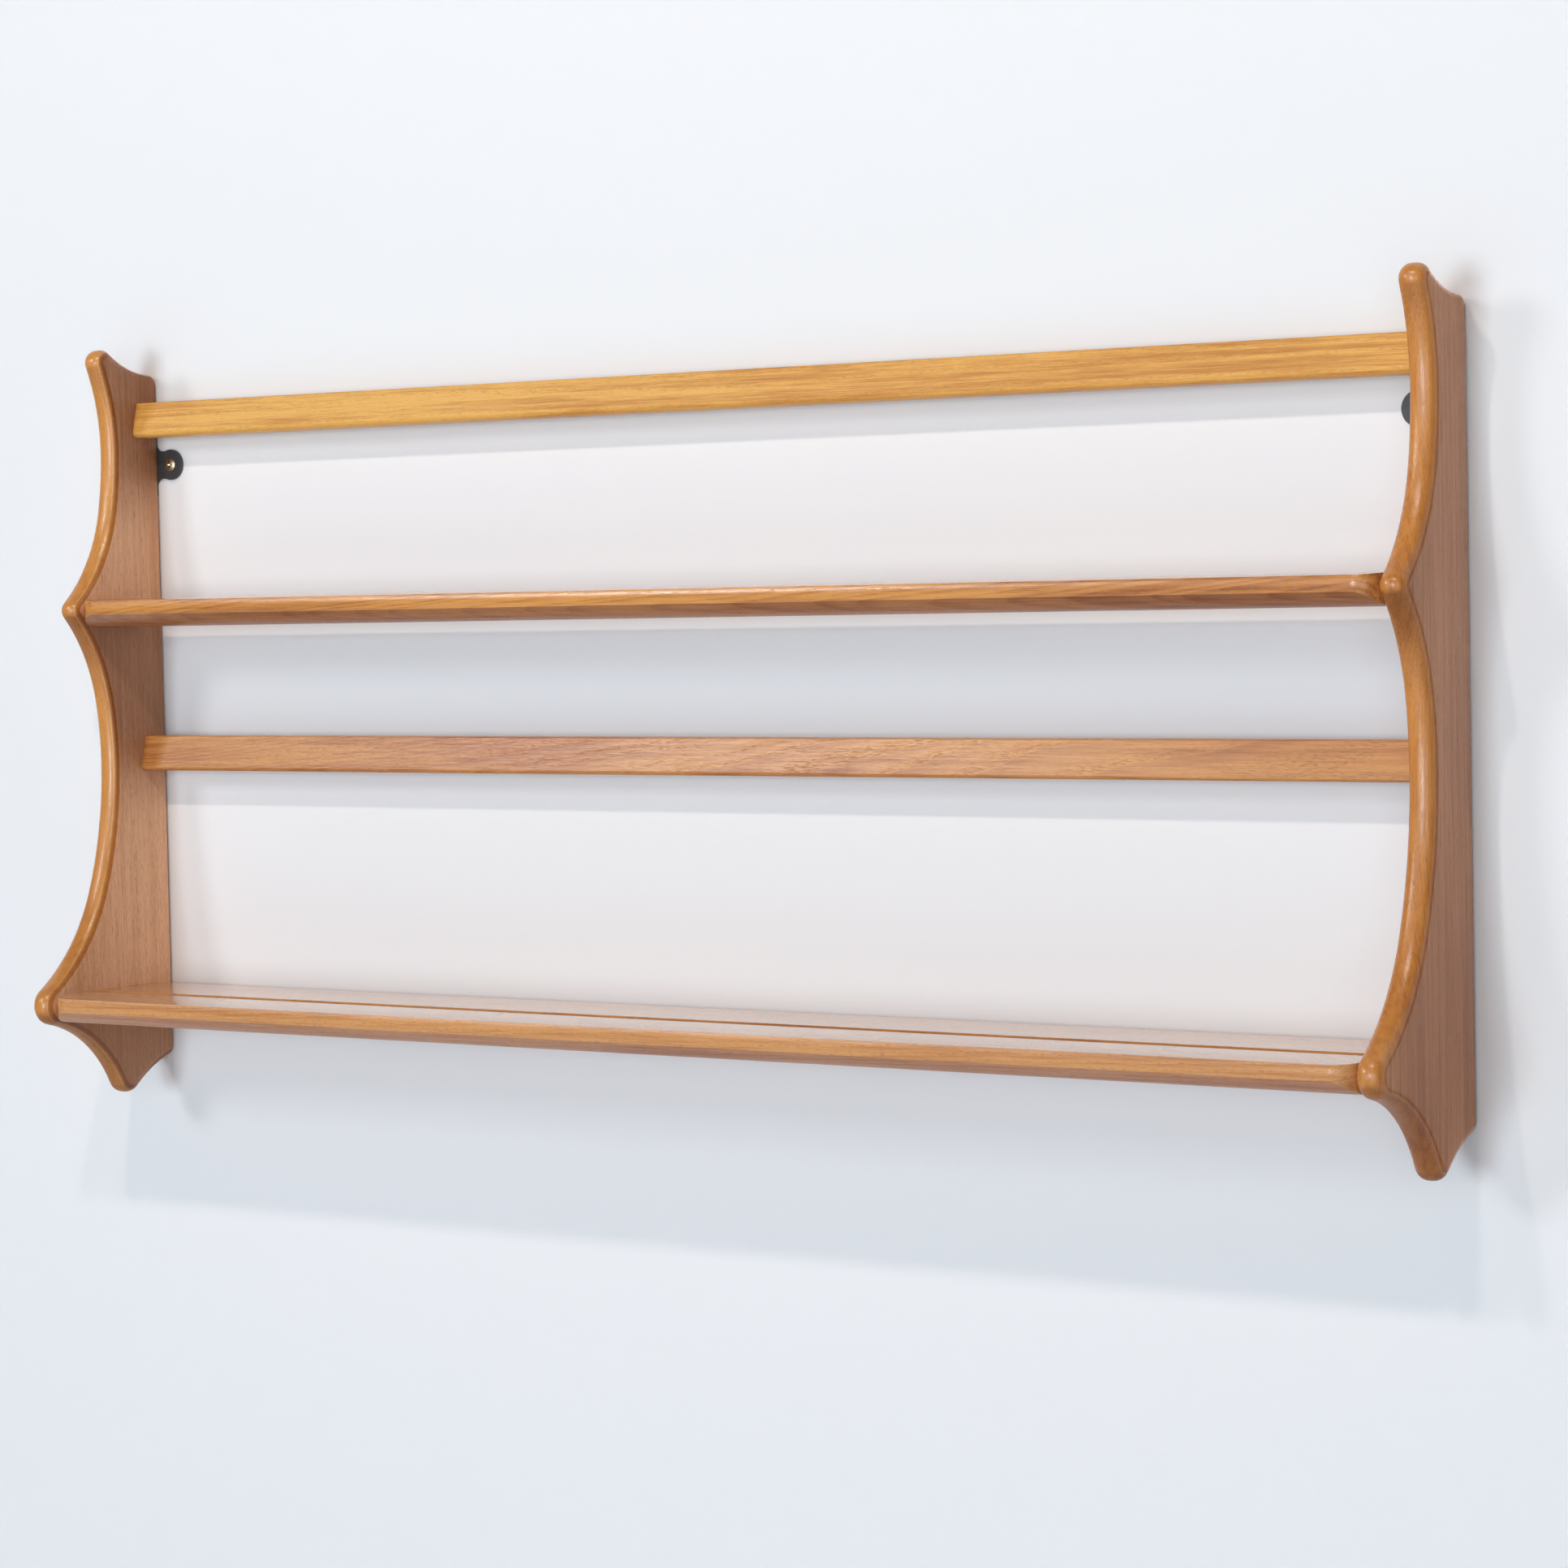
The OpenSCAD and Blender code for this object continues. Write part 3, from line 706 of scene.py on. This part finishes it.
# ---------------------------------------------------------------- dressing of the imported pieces


@dataclass
class Workshop:
    """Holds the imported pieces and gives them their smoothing, eased arrises and finish."""

    nodes: dict[str, bpy.types.Object]
    smooth_under: float = 34.0
    weld_under: float = 0.004 * MM
    ease_over: float = 50.0

    def geometry_group(self, name: str) -> tuple[Graph, Socket, Node]:
        """Starts a geometry node group with one mesh in and one out.

        Args:
            name: The group's name.

        Returns:
            The group's graph, the mesh that comes in, and the output node.
        """
        tree = bpy.data.node_groups.new(name, "GeometryNodeTree")
        for way in ("INPUT", "OUTPUT"):
            tree.interface.new_socket(name="Geometry", in_out=way, socket_type="NodeSocketGeometry")
        graph = Graph(tree)
        start = graph.node("NodeGroupInput")
        return graph, start.outputs[0], graph.node("NodeGroupOutput")

    @cached_property
    def weld(self) -> bpy.types.NodeTree:
        """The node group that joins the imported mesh's loose faces into one skin.

        Returns:
            The group.
        """
        graph, mesh, end = self.geometry_group("weld_faces")
        for attribute in ("custom_normal", "sharp_edge", "sharp_face"):
            inputs = {"Geometry": mesh, "Name": attribute}
            mesh = graph.node("GeometryNodeRemoveAttribute", inputs).outputs[0]
        inputs = {"Geometry": mesh, "Distance": self.weld_under}
        graph.feed(end.inputs[0], graph.node("GeometryNodeMergeByDistance", inputs).outputs[0])
        return graph.tree

    @cached_property
    def soften(self) -> bpy.types.NodeTree:
        """The node group that shades a worked curve smooth and keeps its true edges sharp.

        Returns:
            The group.
        """
        graph, mesh, end = self.geometry_group("smooth_curves")
        angle = graph.node("GeometryNodeInputMeshEdgeAngle").outputs["Unsigned Angle"]
        inputs = {0: angle, 1: math.radians(self.smooth_under)}
        slight = graph.node("FunctionNodeCompare", inputs, data_type="FLOAT", operation="LESS_THAN")
        for domain, smooth in (("FACE", True), ("EDGE", slight.outputs[0])):
            inputs = {"Geometry": mesh, "Shade Smooth": smooth}
            mesh = graph.node("GeometryNodeSetShadeSmooth", inputs, domain=domain).outputs[0]
        graph.feed(end.inputs[0], mesh)
        return graph.tree

    def dress(self, name: str, material: bpy.types.Material, ease: float = 0.0) -> None:
        """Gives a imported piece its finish.

        Args:
            name: The piece's node.
            material: Its finish.
            ease: How far its sharp arrises are taken off, in metres.
        """
        piece = self.nodes[name]
        for slot in piece.material_slots:
            slot.material = material
        piece.modifiers.new("weld", "NODES").node_group = self.weld
        if ease:
            bevel = piece.modifiers.new("ease", "BEVEL")
            bevel.width = ease
            bevel.segments = 2
            bevel.limit_method = "ANGLE"
            bevel.angle_limit = math.radians(self.ease_over)
            bevel.use_clamp_overlap = True
        piece.modifiers.new("soften", "NODES").node_group = self.soften
        weighted = piece.modifiers.new("weigh", "WEIGHTED_NORMAL")
        weighted.keep_sharp = True
        weighted.mode = "FACE_AREA"
        LOG.info("%s is dressed in %s", name, material.name)


@dataclass
class Sides:
    """The two scalloped side panels, whose fibres run upright."""

    workshop: Workshop
    ease: float = 0.35 * MM
    # Painted shade on the rounding where it runs into each flat face, milder on the outer side.
    inner_shade: Colour = (0.74, 0.62, 0.5)
    outer_shade: Colour = (0.88, 0.82, 0.75)
    shade_start: float = 0.60
    shade_full: float = 0.88
    flat_start: float = 0.93
    flat_full: float = 0.965
    flat_gloss: float = 0.22
    flat_sheen: float = -0.6
    # Painted shade on the parts of the rounding that look down.
    painted_underside_shade: Facing = Facing(DOWN, 0.1, 0.65, (0.56, 0.50, 0.50), gloss=0.12, sheen=-0.3)

    def finish(
        self, hand: str, seed: int, lean: float, pale: Colour, dark: Colour, **looks: object
    ) -> Timber:
        """The wood of one side.

        Args:
            hand: left or right.
            seed: The number that sets its own figure.
            lean: How far the growth rings drift through it over a metre.
            pale: The colour of its early wood on the rounded edges.
            dark: The colour of its late wood there.
            looks: Its facings, and its pale arris line and painted shade spans where it has them.

        Returns:
            The finish.
        """
        return Timber(
            name=f"{hand}_side_wood",
            grain=Grain.UPRIGHT,
            pale=pale,
            dark=dark,
            pore=srgb(120, 74, 42),
            heart=(-0.42, 0.10),
            lean=(0.03, lean),
            ring=1.7 * MM,
            seed=seed,
            tint=(0.95, 0.88, 0.84),
            figure=0.18,
            fineness=0.72,
            gloss=0.27,
            sheen=0.7,
            **looks,
        )

    def facings(self, inner: Colour, outer: Colour, out: float) -> tuple[Facing, ...]:
        """The planed faces of a side, each with a painted shade where the rounding runs into it.

        The parts of the rounding that look down get a darker painted shade still.

        Args:
            inner: The tone of its inner face.
            outer: The tone of its outer face.
            out: -1 where the outer face looks along -X, 1 where it looks along +X.

        Returns:
            The facings.
        """
        made = [self.painted_underside_shade]
        for tone, shade, side in ((inner, self.inner_shade, -out), (outer, self.outer_shade, out)):
            way = (side, 0.0, 0.0)
            made.append(Facing(way, self.shade_start, self.shade_full, shade))
            made.append(
                Facing(way, self.flat_start, self.flat_full, tone, self.flat_gloss, self.flat_sheen)
            )
        return tuple(made)

    def build(self) -> None:
        """Dresses both sides: the left one's inner arris gets a wandering pale line, worn wood and
        painted highlight together, and its inner face gets painted shade.
        """
        left = self.finish(
            "left",
            seed=3,
            lean=0.05,
            pale=srgb(221, 151, 78),
            dark=srgb(180, 109, 47),
            # The flats' pale greyish tones partly paint in light: the pale wall's reflection and, on
            # this inner face, the lamps' light.
            facings=self.facings((1.66, 2.72, 8.2), (1.1, 1.35, 2.2), -1.0),
            # Painted shade in bands of the inner face, at the top and under the shelves.
            shadow=PaintedShadeSpans(
                RIGHT,
                (0.50, 0.43, 0.40),
                (
                    (-60.0 * MM, 20.0 * MM, 200.0 * MM, 201.0 * MM),
                    (-240.0 * MM, -170.0 * MM, -104.0 * MM, -92.0 * MM),
                    (-501.0 * MM, -500.0 * MM, -366.0 * MM, -350.0 * MM),
                ),
            ),
            # Pale arris line: worn wood and a painted highlight.
            arris=PaleArrisLine(RIGHT, 0.62, 0.07, 0.55, srgb(236, 196, 140)),
        )
        right = self.finish(
            "right",
            seed=8,
            lean=-0.04,
            pale=srgb(216, 143, 70),
            dark=srgb(158, 88, 31),
            # The flats' greyish tones partly paint in the pale wall's reflection.
            facings=self.facings((1.1, 1.35, 2.2), (0.84, 0.89, 1.65), 1.0),
        )
        self.workshop.dress("left_side", left.build(), self.ease)
        self.workshop.dress("right_side", right.build(), self.ease)


@dataclass
class Shelves:
    """The two grooved shelves, whose fibres run along the rack."""

    workshop: Workshop
    ease: float = 0.3 * MM

    def build(self) -> None:
        """Dresses both shelves, each cut from its own board."""
        lower = Timber(
            name="lower_shelf_wood",
            grain=Grain.ALONG_RACK,
            pale=srgb(218, 157, 99),
            dark=srgb(178, 112, 63),
            pore=srgb(127, 75, 44),
            heart=(-0.09, -0.44),
            lean=(0.02, 0.05),
            ring=4.0 * MM,
            seed=11,
            tint=(0.95, 0.86, 0.86),
            figure=0.3,
            gloss=0.3,
            sheen=0.5,
            facings=(
                # Painted shade on the faces that look down, greyed blue for the floor's light.
                Facing(DOWN, 0.1, 0.3, (0.76, 0.75, 1.08), gloss=0.1, sheen=-0.3),
                # The paler top tone paints in the wall's reflection at a grazing view; the lacquer adds
                # real reflections.
                Facing(UP, 0.9, 0.97, (1.1, 1.3, 1.7), gloss=-0.12, sheen=0.5, lacquer=0.9),
            ),
            crown=Crown(-352.7 * MM),
        )
        upper = Timber(
            name="upper_shelf_wood",
            grain=Grain.ALONG_RACK,
            pale=srgb(226, 157, 82),
            dark=srgb(166, 99, 46),
            pore=srgb(115, 71, 41),
            heart=(-0.13, -0.16),
            lean=(0.05, 0.07),
            ring=3.6 * MM,
            seed=5,
            tint=(0.92, 0.84, 0.84),
            figure=0.4,
            gloss=0.24,
            sheen=0.8,
            facings=(
                # Painted shade on the faces that look down.
                Facing(DOWN, 0.1, 0.3, (0.64, 0.60, 0.88), gloss=0.1, sheen=-0.2),
                Facing(UP, 0.9, 0.97, gloss=-0.06, sheen=-0.2, lacquer=0.7),
            ),
            crown=Crown(-94.7 * MM),
        )
        self.workshop.dress("lower_shelf", lower.build(), self.ease)
        self.workshop.dress("upper_shelf", upper.build(), self.ease)


@dataclass
class Rails:
    """The two leaning rails, whose fibres run along the rack."""

    workshop: Workshop
    ease: float = 0.25 * MM

    def build(self) -> None:
        """Dresses both rails: straight golden grain above, a wilder redder figure below."""
        upper = Timber(
            name="upper_rail_wood",
            grain=Grain.ALONG_RACK,
            pale=srgb(235, 178, 91),
            dark=srgb(198, 131, 57),
            pore=srgb(156, 102, 45),
            heart=(-0.30, 0.20),
            lean=(0.01, 0.015),
            ring=2.2 * MM,
            seed=14,
            tint=(0.97, 0.92, 0.9),
            figure=0.25,
            fineness=1.3,
            gloss=0.42,
        )
        middle = Timber(
            name="middle_rail_wood",
            grain=Grain.ALONG_RACK,
            pale=srgb(207, 143, 76),
            dark=srgb(161, 95, 42),
            pore=srgb(115, 66, 32),
            heart=(-0.10, -0.215),
            lean=(0.04, 0.10),
            ring=3.8 * MM,
            seed=21,
            tint=(0.98, 0.86, 0.84),
            figure=0.35,
            gloss=0.32,
            sheen=0.75,
        )
        self.workshop.dress("upper_rail", upper.build(), self.ease)
        self.workshop.dress("middle_rail", middle.build(), self.ease)


@dataclass
class Dowels:
    """The plain dowels in the joints."""

    workshop: Workshop

    def build(self) -> None:
        """Dresses every group of dowels in pale wood."""
        beech = Timber(
            name="dowel_wood",
            grain=Grain.ALONG_RACK,
            pale=srgb(226, 200, 160),
            dark=srgb(200, 168, 124),
            pore=srgb(160, 124, 84),
            heart=(-0.2, -0.2),
            lean=(0.0, 0.0),
            ring=2.0 * MM,
            seed=30,
            gloss=0.5,
        ).build()
        for board in ("upper_shelf", "lower_shelf", "upper_rail", "middle_rail"):
            for hand in ("left", "right"):
                self.workshop.dress(f"{board}_{hand}_dowels", beech)


@dataclass
class Hangers:
    """The lugged steel plates on the back edges, with the brass screws that hold them there."""

    workshop: Workshop
    ease: float = 0.35 * MM

    def build(self, brass: bpy.types.Material) -> None:
        """Dresses the plates and their screws.

        Args:
            brass: The screws' finish.
        """
        paint = PaintedSteel().build()
        for hand in ("left", "right"):
            self.workshop.dress(f"{hand}_hanging_plate", paint, self.ease)
            self.workshop.dress(f"{hand}_plate_screws", brass)


@dataclass
class WallScrews:
    """The two brass wall screws, drawn anew with their thread and a tapered cross recess.

    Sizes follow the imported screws, which stand for the thread with a plain shank. ridge is half
    the width of the thread as a share of the pitch, point_power says how bluntly the point thins,
    and thread_fade how late the thread runs out there. recess_taper says how wide the recess still
    is at some shares of its depth, and recess_draft how much its wings get thinner.
    """

    workshop: Workshop
    head_radius: float = 4.3 * MM
    dome: float = 0.8 * MM
    dome_steps: int = 8
    rim: float = 0.18 * MM
    neck_radius: float = 2.15 * MM
    core_radius: float = 1.45 * MM
    crest_radius: float = 2.0 * MM
    tip_radius: float = 0.12 * MM
    pitch: float = 1.8 * MM
    ridge: float = 0.24
    point_length: float = 4.0 * MM
    point_power: float = 0.7
    thread_fade: float = 1.6
    recess_reach: float = 2.9 * MM
    recess_width: float = 1.1 * MM
    recess_depth: float = 1.9 * MM
    recess_lead: float = 0.5 * MM
    recess_taper: tuple[tuple[float, float], ...] = ((0.55, 0.78), (1.0, 0.3))
    recess_draft: float = 0.25
    around: int = 48
    rings_per_turn: int = 12

    def profile(self, length: float, neck_end: float) -> list[tuple[float, float, float]]:
        """The screw's rings from the middle of its head to its point.

        Args:
            length: From the top of the dome to the point.
            neck_end: From the top of the dome to the start of the thread.

        Returns:
            For each ring: its distance from the top of the dome, its radius, and the height of the
            thread there as a share of the full thread.
        """
        rings = []
        ball = (self.head_radius**2 + self.dome**2) / (2 * self.dome)
        for k in range(1, self.dome_steps + 1):
            radius = self.head_radius * k / self.dome_steps
            rings.append((ball - math.sqrt(ball**2 - radius**2), radius, 0.0))
        rim = self.dome + self.rim
        rings.append((rim, self.head_radius, 0.0))
        cone_end = rim + self.head_radius - self.neck_radius
        rings += [(cone_end, self.neck_radius, 0.0), (neck_end, self.neck_radius, 0.0)]
        step = self.pitch / self.rings_per_turn
        count = int((length - neck_end - step) / step)
        for k in range(1, count + 1):
            at = neck_end + k * step
            left = (length - at) / self.point_length
            taper = min(1.0, left) ** self.point_power
            radius = max(self.tip_radius, self.core_radius * taper)
            run_in = min(1.0, k / self.rings_per_turn)
            rings.append((at, radius, run_in * min(1.0, left * self.thread_fade) * taper))
        return rings

    def turned(self, name: str, low: Vector, high: Vector) -> bpy.types.Object:
        """Turns one screw, with its thread.

        Args:
            name: The new piece's name.
            low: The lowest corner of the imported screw's box.
            high: The highest corner of it.

        Returns:
            The screw without its recess.
        """
        centre = (low + high) / 2
        length = high.y - low.y
        mesh = bmesh.new()
        top = mesh.verts.new((centre.x, low.y, centre.z))
        rows = []
        for at, radius, share in self.profile(length, -low.y):
            row = []
            for k in range(self.around):
                turn = k / self.around
                place = (at / self.pitch - turn) % 1.0
                ridge = max(0.0, 1 - abs(place - 0.5) / self.ridge)
                reach = radius + (self.crest_radius - self.core_radius) * ridge * share
                angle = 2 * math.pi * turn
                x, z = centre.x + reach * math.cos(angle), centre.z + reach * math.sin(angle)
                row.append(mesh.verts.new((x, low.y + at, z)))
            rows.append(row)
        tip = mesh.verts.new((centre.x, high.y, centre.z))
        for k in range(self.around):
            after = (k + 1) % self.around
            mesh.faces.new((top, rows[0][k], rows[0][after]))
            mesh.faces.new((tip, rows[-1][after], rows[-1][k]))
            for near, far in zip(rows, rows[1:]):
                mesh.faces.new((near[k], far[k], far[after], near[after]))
        bmesh.ops.recalc_face_normals(mesh, faces=mesh.faces)
        return new_piece(name, mesh)

    def cross_punch(self, low: Vector, centre: Vector) -> bpy.types.Object:
        """The punch that leaves the cross recess: four wings that draw in towards its bottom.

        Args:
            low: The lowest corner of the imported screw's box, where the dome's top is.
            centre: The middle of that box.

        Returns:
            The punch.
        """
        half, reach = self.recess_width / 2, self.recess_reach
        outer = (half + reach) / 2  # A number above this lies at the end of a wing.
        outline = [(half, reach), (half, half), (reach, half)]
        corners = []
        for quarter in range(4):
            cos, sin = math.cos(quarter * math.pi / 2), math.sin(quarter * math.pi / 2)
            corners += [(x * cos + z * sin, z * cos - x * sin) for x, z in outline]
        start = low.y - self.recess_lead
        levels = [(0.0, 1.0)]
        for share, wide in self.recess_taper:
            levels.append((self.recess_lead + self.recess_depth * share, wide))
        mesh = bmesh.new()
        rows = []
        for deep, wide in levels:
            narrow = 1.0 - self.recess_draft * deep / (self.recess_depth + self.recess_lead)
            row = []
            for x, z in corners:
                x_in = x * (wide if abs(x) > outer else narrow)
                z_in = z * (wide if abs(z) > outer else narrow)
                row.append(mesh.verts.new((centre.x + x_in, start + deep, centre.z + z_in)))
            rows.append(row)
        count = len(corners)
        for near, far in zip(rows, rows[1:]):
            for k in range(count):
                after = (k + 1) % count
                mesh.faces.new((near[k], near[after], far[after], far[k]))
        mesh.faces.new(list(reversed(rows[0])))
        mesh.faces.new(rows[-1])
        bmesh.ops.triangulate(mesh, faces=[f for f in mesh.faces if len(f.verts) > 4])
        bmesh.ops.recalc_face_normals(mesh, faces=mesh.faces)
        return new_piece("cross_punch", mesh)

    def punched(self, piece: bpy.types.Object, punch: bpy.types.Object) -> None:
        """Cuts the recess into a screw for good and throws the punch away.

        Args:
            piece: The screw.
            punch: The punch.
        """
        cut = piece.modifiers.new("recess", "BOOLEAN")
        cut.operation = "DIFFERENCE"
        cut.solver = "EXACT"
        cut.object = punch
        bpy.context.view_layer.update()
        graph = bpy.context.evaluated_depsgraph_get()
        done = bpy.data.meshes.new_from_object(piece.evaluated_get(graph))
        piece.modifiers.clear()
        old, piece.data = piece.data, done
        bpy.data.meshes.remove(old)
        bpy.data.objects.remove(punch)
        done.polygons.foreach_set("use_smooth", [True] * len(done.polygons))
        done.set_sharp_from_angle(angle=math.radians(self.workshop.smooth_under))

    def build(self, brass: bpy.types.Material) -> None:
        """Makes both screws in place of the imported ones.

        Args:
            brass: Their finish.
        """
        for hand in ("left", "right"):
            node = f"{hand}_wall_screw"
            low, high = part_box(node)
            piece = self.turned(f"{hand}_threaded_wall_screw", low, high)
            self.punched(piece, self.cross_punch(low, (low + high) / 2))
            piece.data.materials.clear()
            piece.data.materials.append(brass)
            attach(piece, BODY)
            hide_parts(node)
            LOG.info("%s is turned and punched", piece.name)


# ---------------------------------------------------------------- studio


@dataclass(frozen=True)
class Pane:
    """A flat soft lamp, such as a window."""

    name: str
    place: Point
    power: float
    colour: Colour
    width: float
    height: float


@dataclass
class Studio:
    """The pale wall and floor, the soft light of the room and its two small warm ceiling lamps."""

    half_width: float = 7.0
    wall_top: float = 4.5
    floor_at: float = -2.2
    floor_front: float = -6.5
    cove: float = 0.5
    cove_steps: int = 12
    panes: tuple[Pane, ...] = (
        Pane("front_window", (-1.1, -8.0, -0.1), 242.0, (0.81, 0.92, 0.99), 2.4, 2.6),
        Pane("right_fill", (2.8, -5.5, 0.0), 84.0, (0.86, 0.93, 0.98), 4.0, 3.0),
        Pane("left_window", (-2.66, -3.5, 1.5), 42.0, (0.96, 0.97, 1.0), 1.0, 0.9),
    )
    bulbs: tuple[Point, ...] = ((-0.05, -1.61, 1.41), (0.48, -1.61, 1.41))
    bulb_power: float = 30.0
    bulb_colour: Colour = (1.0, 0.88, 0.77)
    bulb_radius: float = 0.05
    rear_power: float = 2.0
    rear_spread: float = 20.0
    sky: float = 0.02
    sky_colour: Colour = (0.80, 0.91, 1.0)
    sky_full: float = -0.35
    sky_end: float = 0.05
    backdrop: Colour = (0.87, 0.87, 0.89)

    def build_wall(self) -> None:
        """Raises the wall and turns it through a cove into the floor."""
        line = [(0.0, self.wall_top)]
        for k in range(self.cove_steps + 1):
            angle = math.pi / 2 * k / self.cove_steps
            out = self.cove * (math.cos(angle) - 1)
            line.append((out, self.floor_at + self.cove * (1 - math.sin(angle))))
        line.append((self.floor_front, self.floor_at))
        mesh = bmesh.new()
        rows = []
        for y, z in line:
            rows.append([mesh.verts.new((side * self.half_width, y, z)) for side in (-1, 1)])
        for above, below in zip(rows, rows[1:]):
            face = mesh.faces.new((above[0], below[0], below[1], above[1]))
            face.smooth = True
        wall = new_piece("wall_and_floor", mesh)
        wall.data.materials.append(Plaster(floor_at=self.floor_at).build())
        LOG.info("the wall stands")

    def lamp(
        self, name: str, kind: str, place: Point, power: float, colour: Colour = (1.0, 1.0, 1.0)
    ) -> bpy.types.Object:
        """Hangs a lamp that points at the origin.

        Args:
            name: Its name.
            kind: Blender's kind of lamp.
            place: Where it hangs.
            power: Its strength.
            colour: The colour of its light.

        Returns:
            The lamp, unseen by the camera.
        """
        data = bpy.data.lights.new(name, kind)
        data.energy = power
        data.color = colour
        made = bpy.data.objects.new(name, data)
        made.location = place
        made.rotation_euler = (-Vector(place)).to_track_quat("-Z", "Y").to_euler()
        made.visible_camera = False
        bpy.context.scene.collection.objects.link(made)
        return made

    def build_lamps(self) -> None:
        """Hangs the two windows, the fill on the right, the ceiling lamps and a rear light.

        The rear light stands behind the wall and lights the faces that lie against it, for a view
        from behind.
        """
        for pane in self.panes:
            data = self.lamp(pane.name, "AREA", pane.place, pane.power, pane.colour).data
            data.shape = "RECTANGLE"
            data.size = pane.width
            data.size_y = pane.height
        for number, place in enumerate(self.bulbs, 1):
            bulb = self.lamp(f"ceiling_lamp_{number}", "POINT", place, self.bulb_power, self.bulb_colour)
            bulb.data.shadow_soft_size = self.bulb_radius
        rear = self.lamp("light_behind_the_wall", "SUN", (0.0, 2.0, 0.0), self.rear_power)
        rear.data.angle = math.radians(self.rear_spread)
        rear.data.cycles.max_bounces = 0
        LOG.info("the lamps hang")

    def build_world(self) -> None:
        """Lights the room from its front half and shows a plain pale surround to the camera."""
        world = bpy.data.worlds.new("pale_room")
        bpy.context.scene.world = world
        world.use_nodes = True
        graph = Graph(world.node_tree)
        way = graph.split(graph.node("ShaderNodeTexCoord").outputs["Generated"])
        front = graph.remap(way[1], self.sky_full, self.sky_end, 1.0, 0.0)
        path = graph.node("ShaderNodeLightPath").outputs
        shown = graph.math("MAXIMUM", path["Is Camera Ray"], path["Is Transmission Ray"])
        strength = graph.math("MULTIPLY", front, self.sky)
        room = graph.node("ShaderNodeBackground", {"Color": self.sky_colour, "Strength": strength})
        plain = graph.node("ShaderNodeBackground", {"Color": self.backdrop})
        mixed = graph.blend(shown, room, plain)
        graph.node("ShaderNodeOutputWorld", {"Surface": mixed.outputs[0]})
        LOG.info("the room is lit")

    def build(self) -> None:
        """Builds the wall, the lamps and the world, and sets the plain view transform."""
        self.build_wall()
        self.build_lamps()
        self.build_world()
        bpy.context.scene.view_settings.view_transform = "Standard"


@dataclass
class PhotoCamera:
    """The camera, standing to the right of the rack and a little below its upper shelf."""

    place: Point = (1.42918, -2.07887, -0.09035)
    turn_left: float = 33.9124
    tilt_down: float = 2.4689
    lean: float = -1.2020
    lens: float = 94.88
    sensor: float = 36.0
    shift: tuple[float, float] = (0.00082, -0.01207)
    nearest: float = 0.05
    farthest: float = 60.0

    def build(self) -> None:
        """Sets up the camera and makes it the scene's own."""
        data = bpy.data.cameras.new("photo_camera")
        data.sensor_width = self.sensor
        data.lens = self.lens
        data.shift_x, data.shift_y = self.shift
        data.clip_start = self.nearest
        data.clip_end = self.farthest
        camera = bpy.data.objects.new("photo_camera", data)
        bpy.context.scene.collection.objects.link(camera)
        upright = Matrix.Rotation(math.radians(90 - self.tilt_down), 4, "X")
        turned = Matrix.Rotation(math.radians(self.turn_left), 4, "Z")
        rolled = Matrix.Rotation(math.radians(self.lean), 4, "Z")
        camera.matrix_world = Matrix.Translation(self.place) @ turned @ upright @ rolled
        bpy.context.scene.camera = camera
        LOG.info("the camera stands at %s", self.place)


def main() -> None:
    """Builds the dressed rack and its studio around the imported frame."""
    logging.basicConfig(level=logging.INFO, format="%(name)s: %(message)s")
    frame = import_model()
    PhotoCamera().build()
    workshop = Workshop(frame["nodes"])
    brass = Brass().build()
    Sides(workshop).build()
    Shelves(workshop).build()
    Rails(workshop).build()
    Dowels(workshop).build()
    Hangers(workshop).build(brass)
    WallScrews(workshop).build(brass)
    Studio().build()


if __name__ == "__main__":
    main()
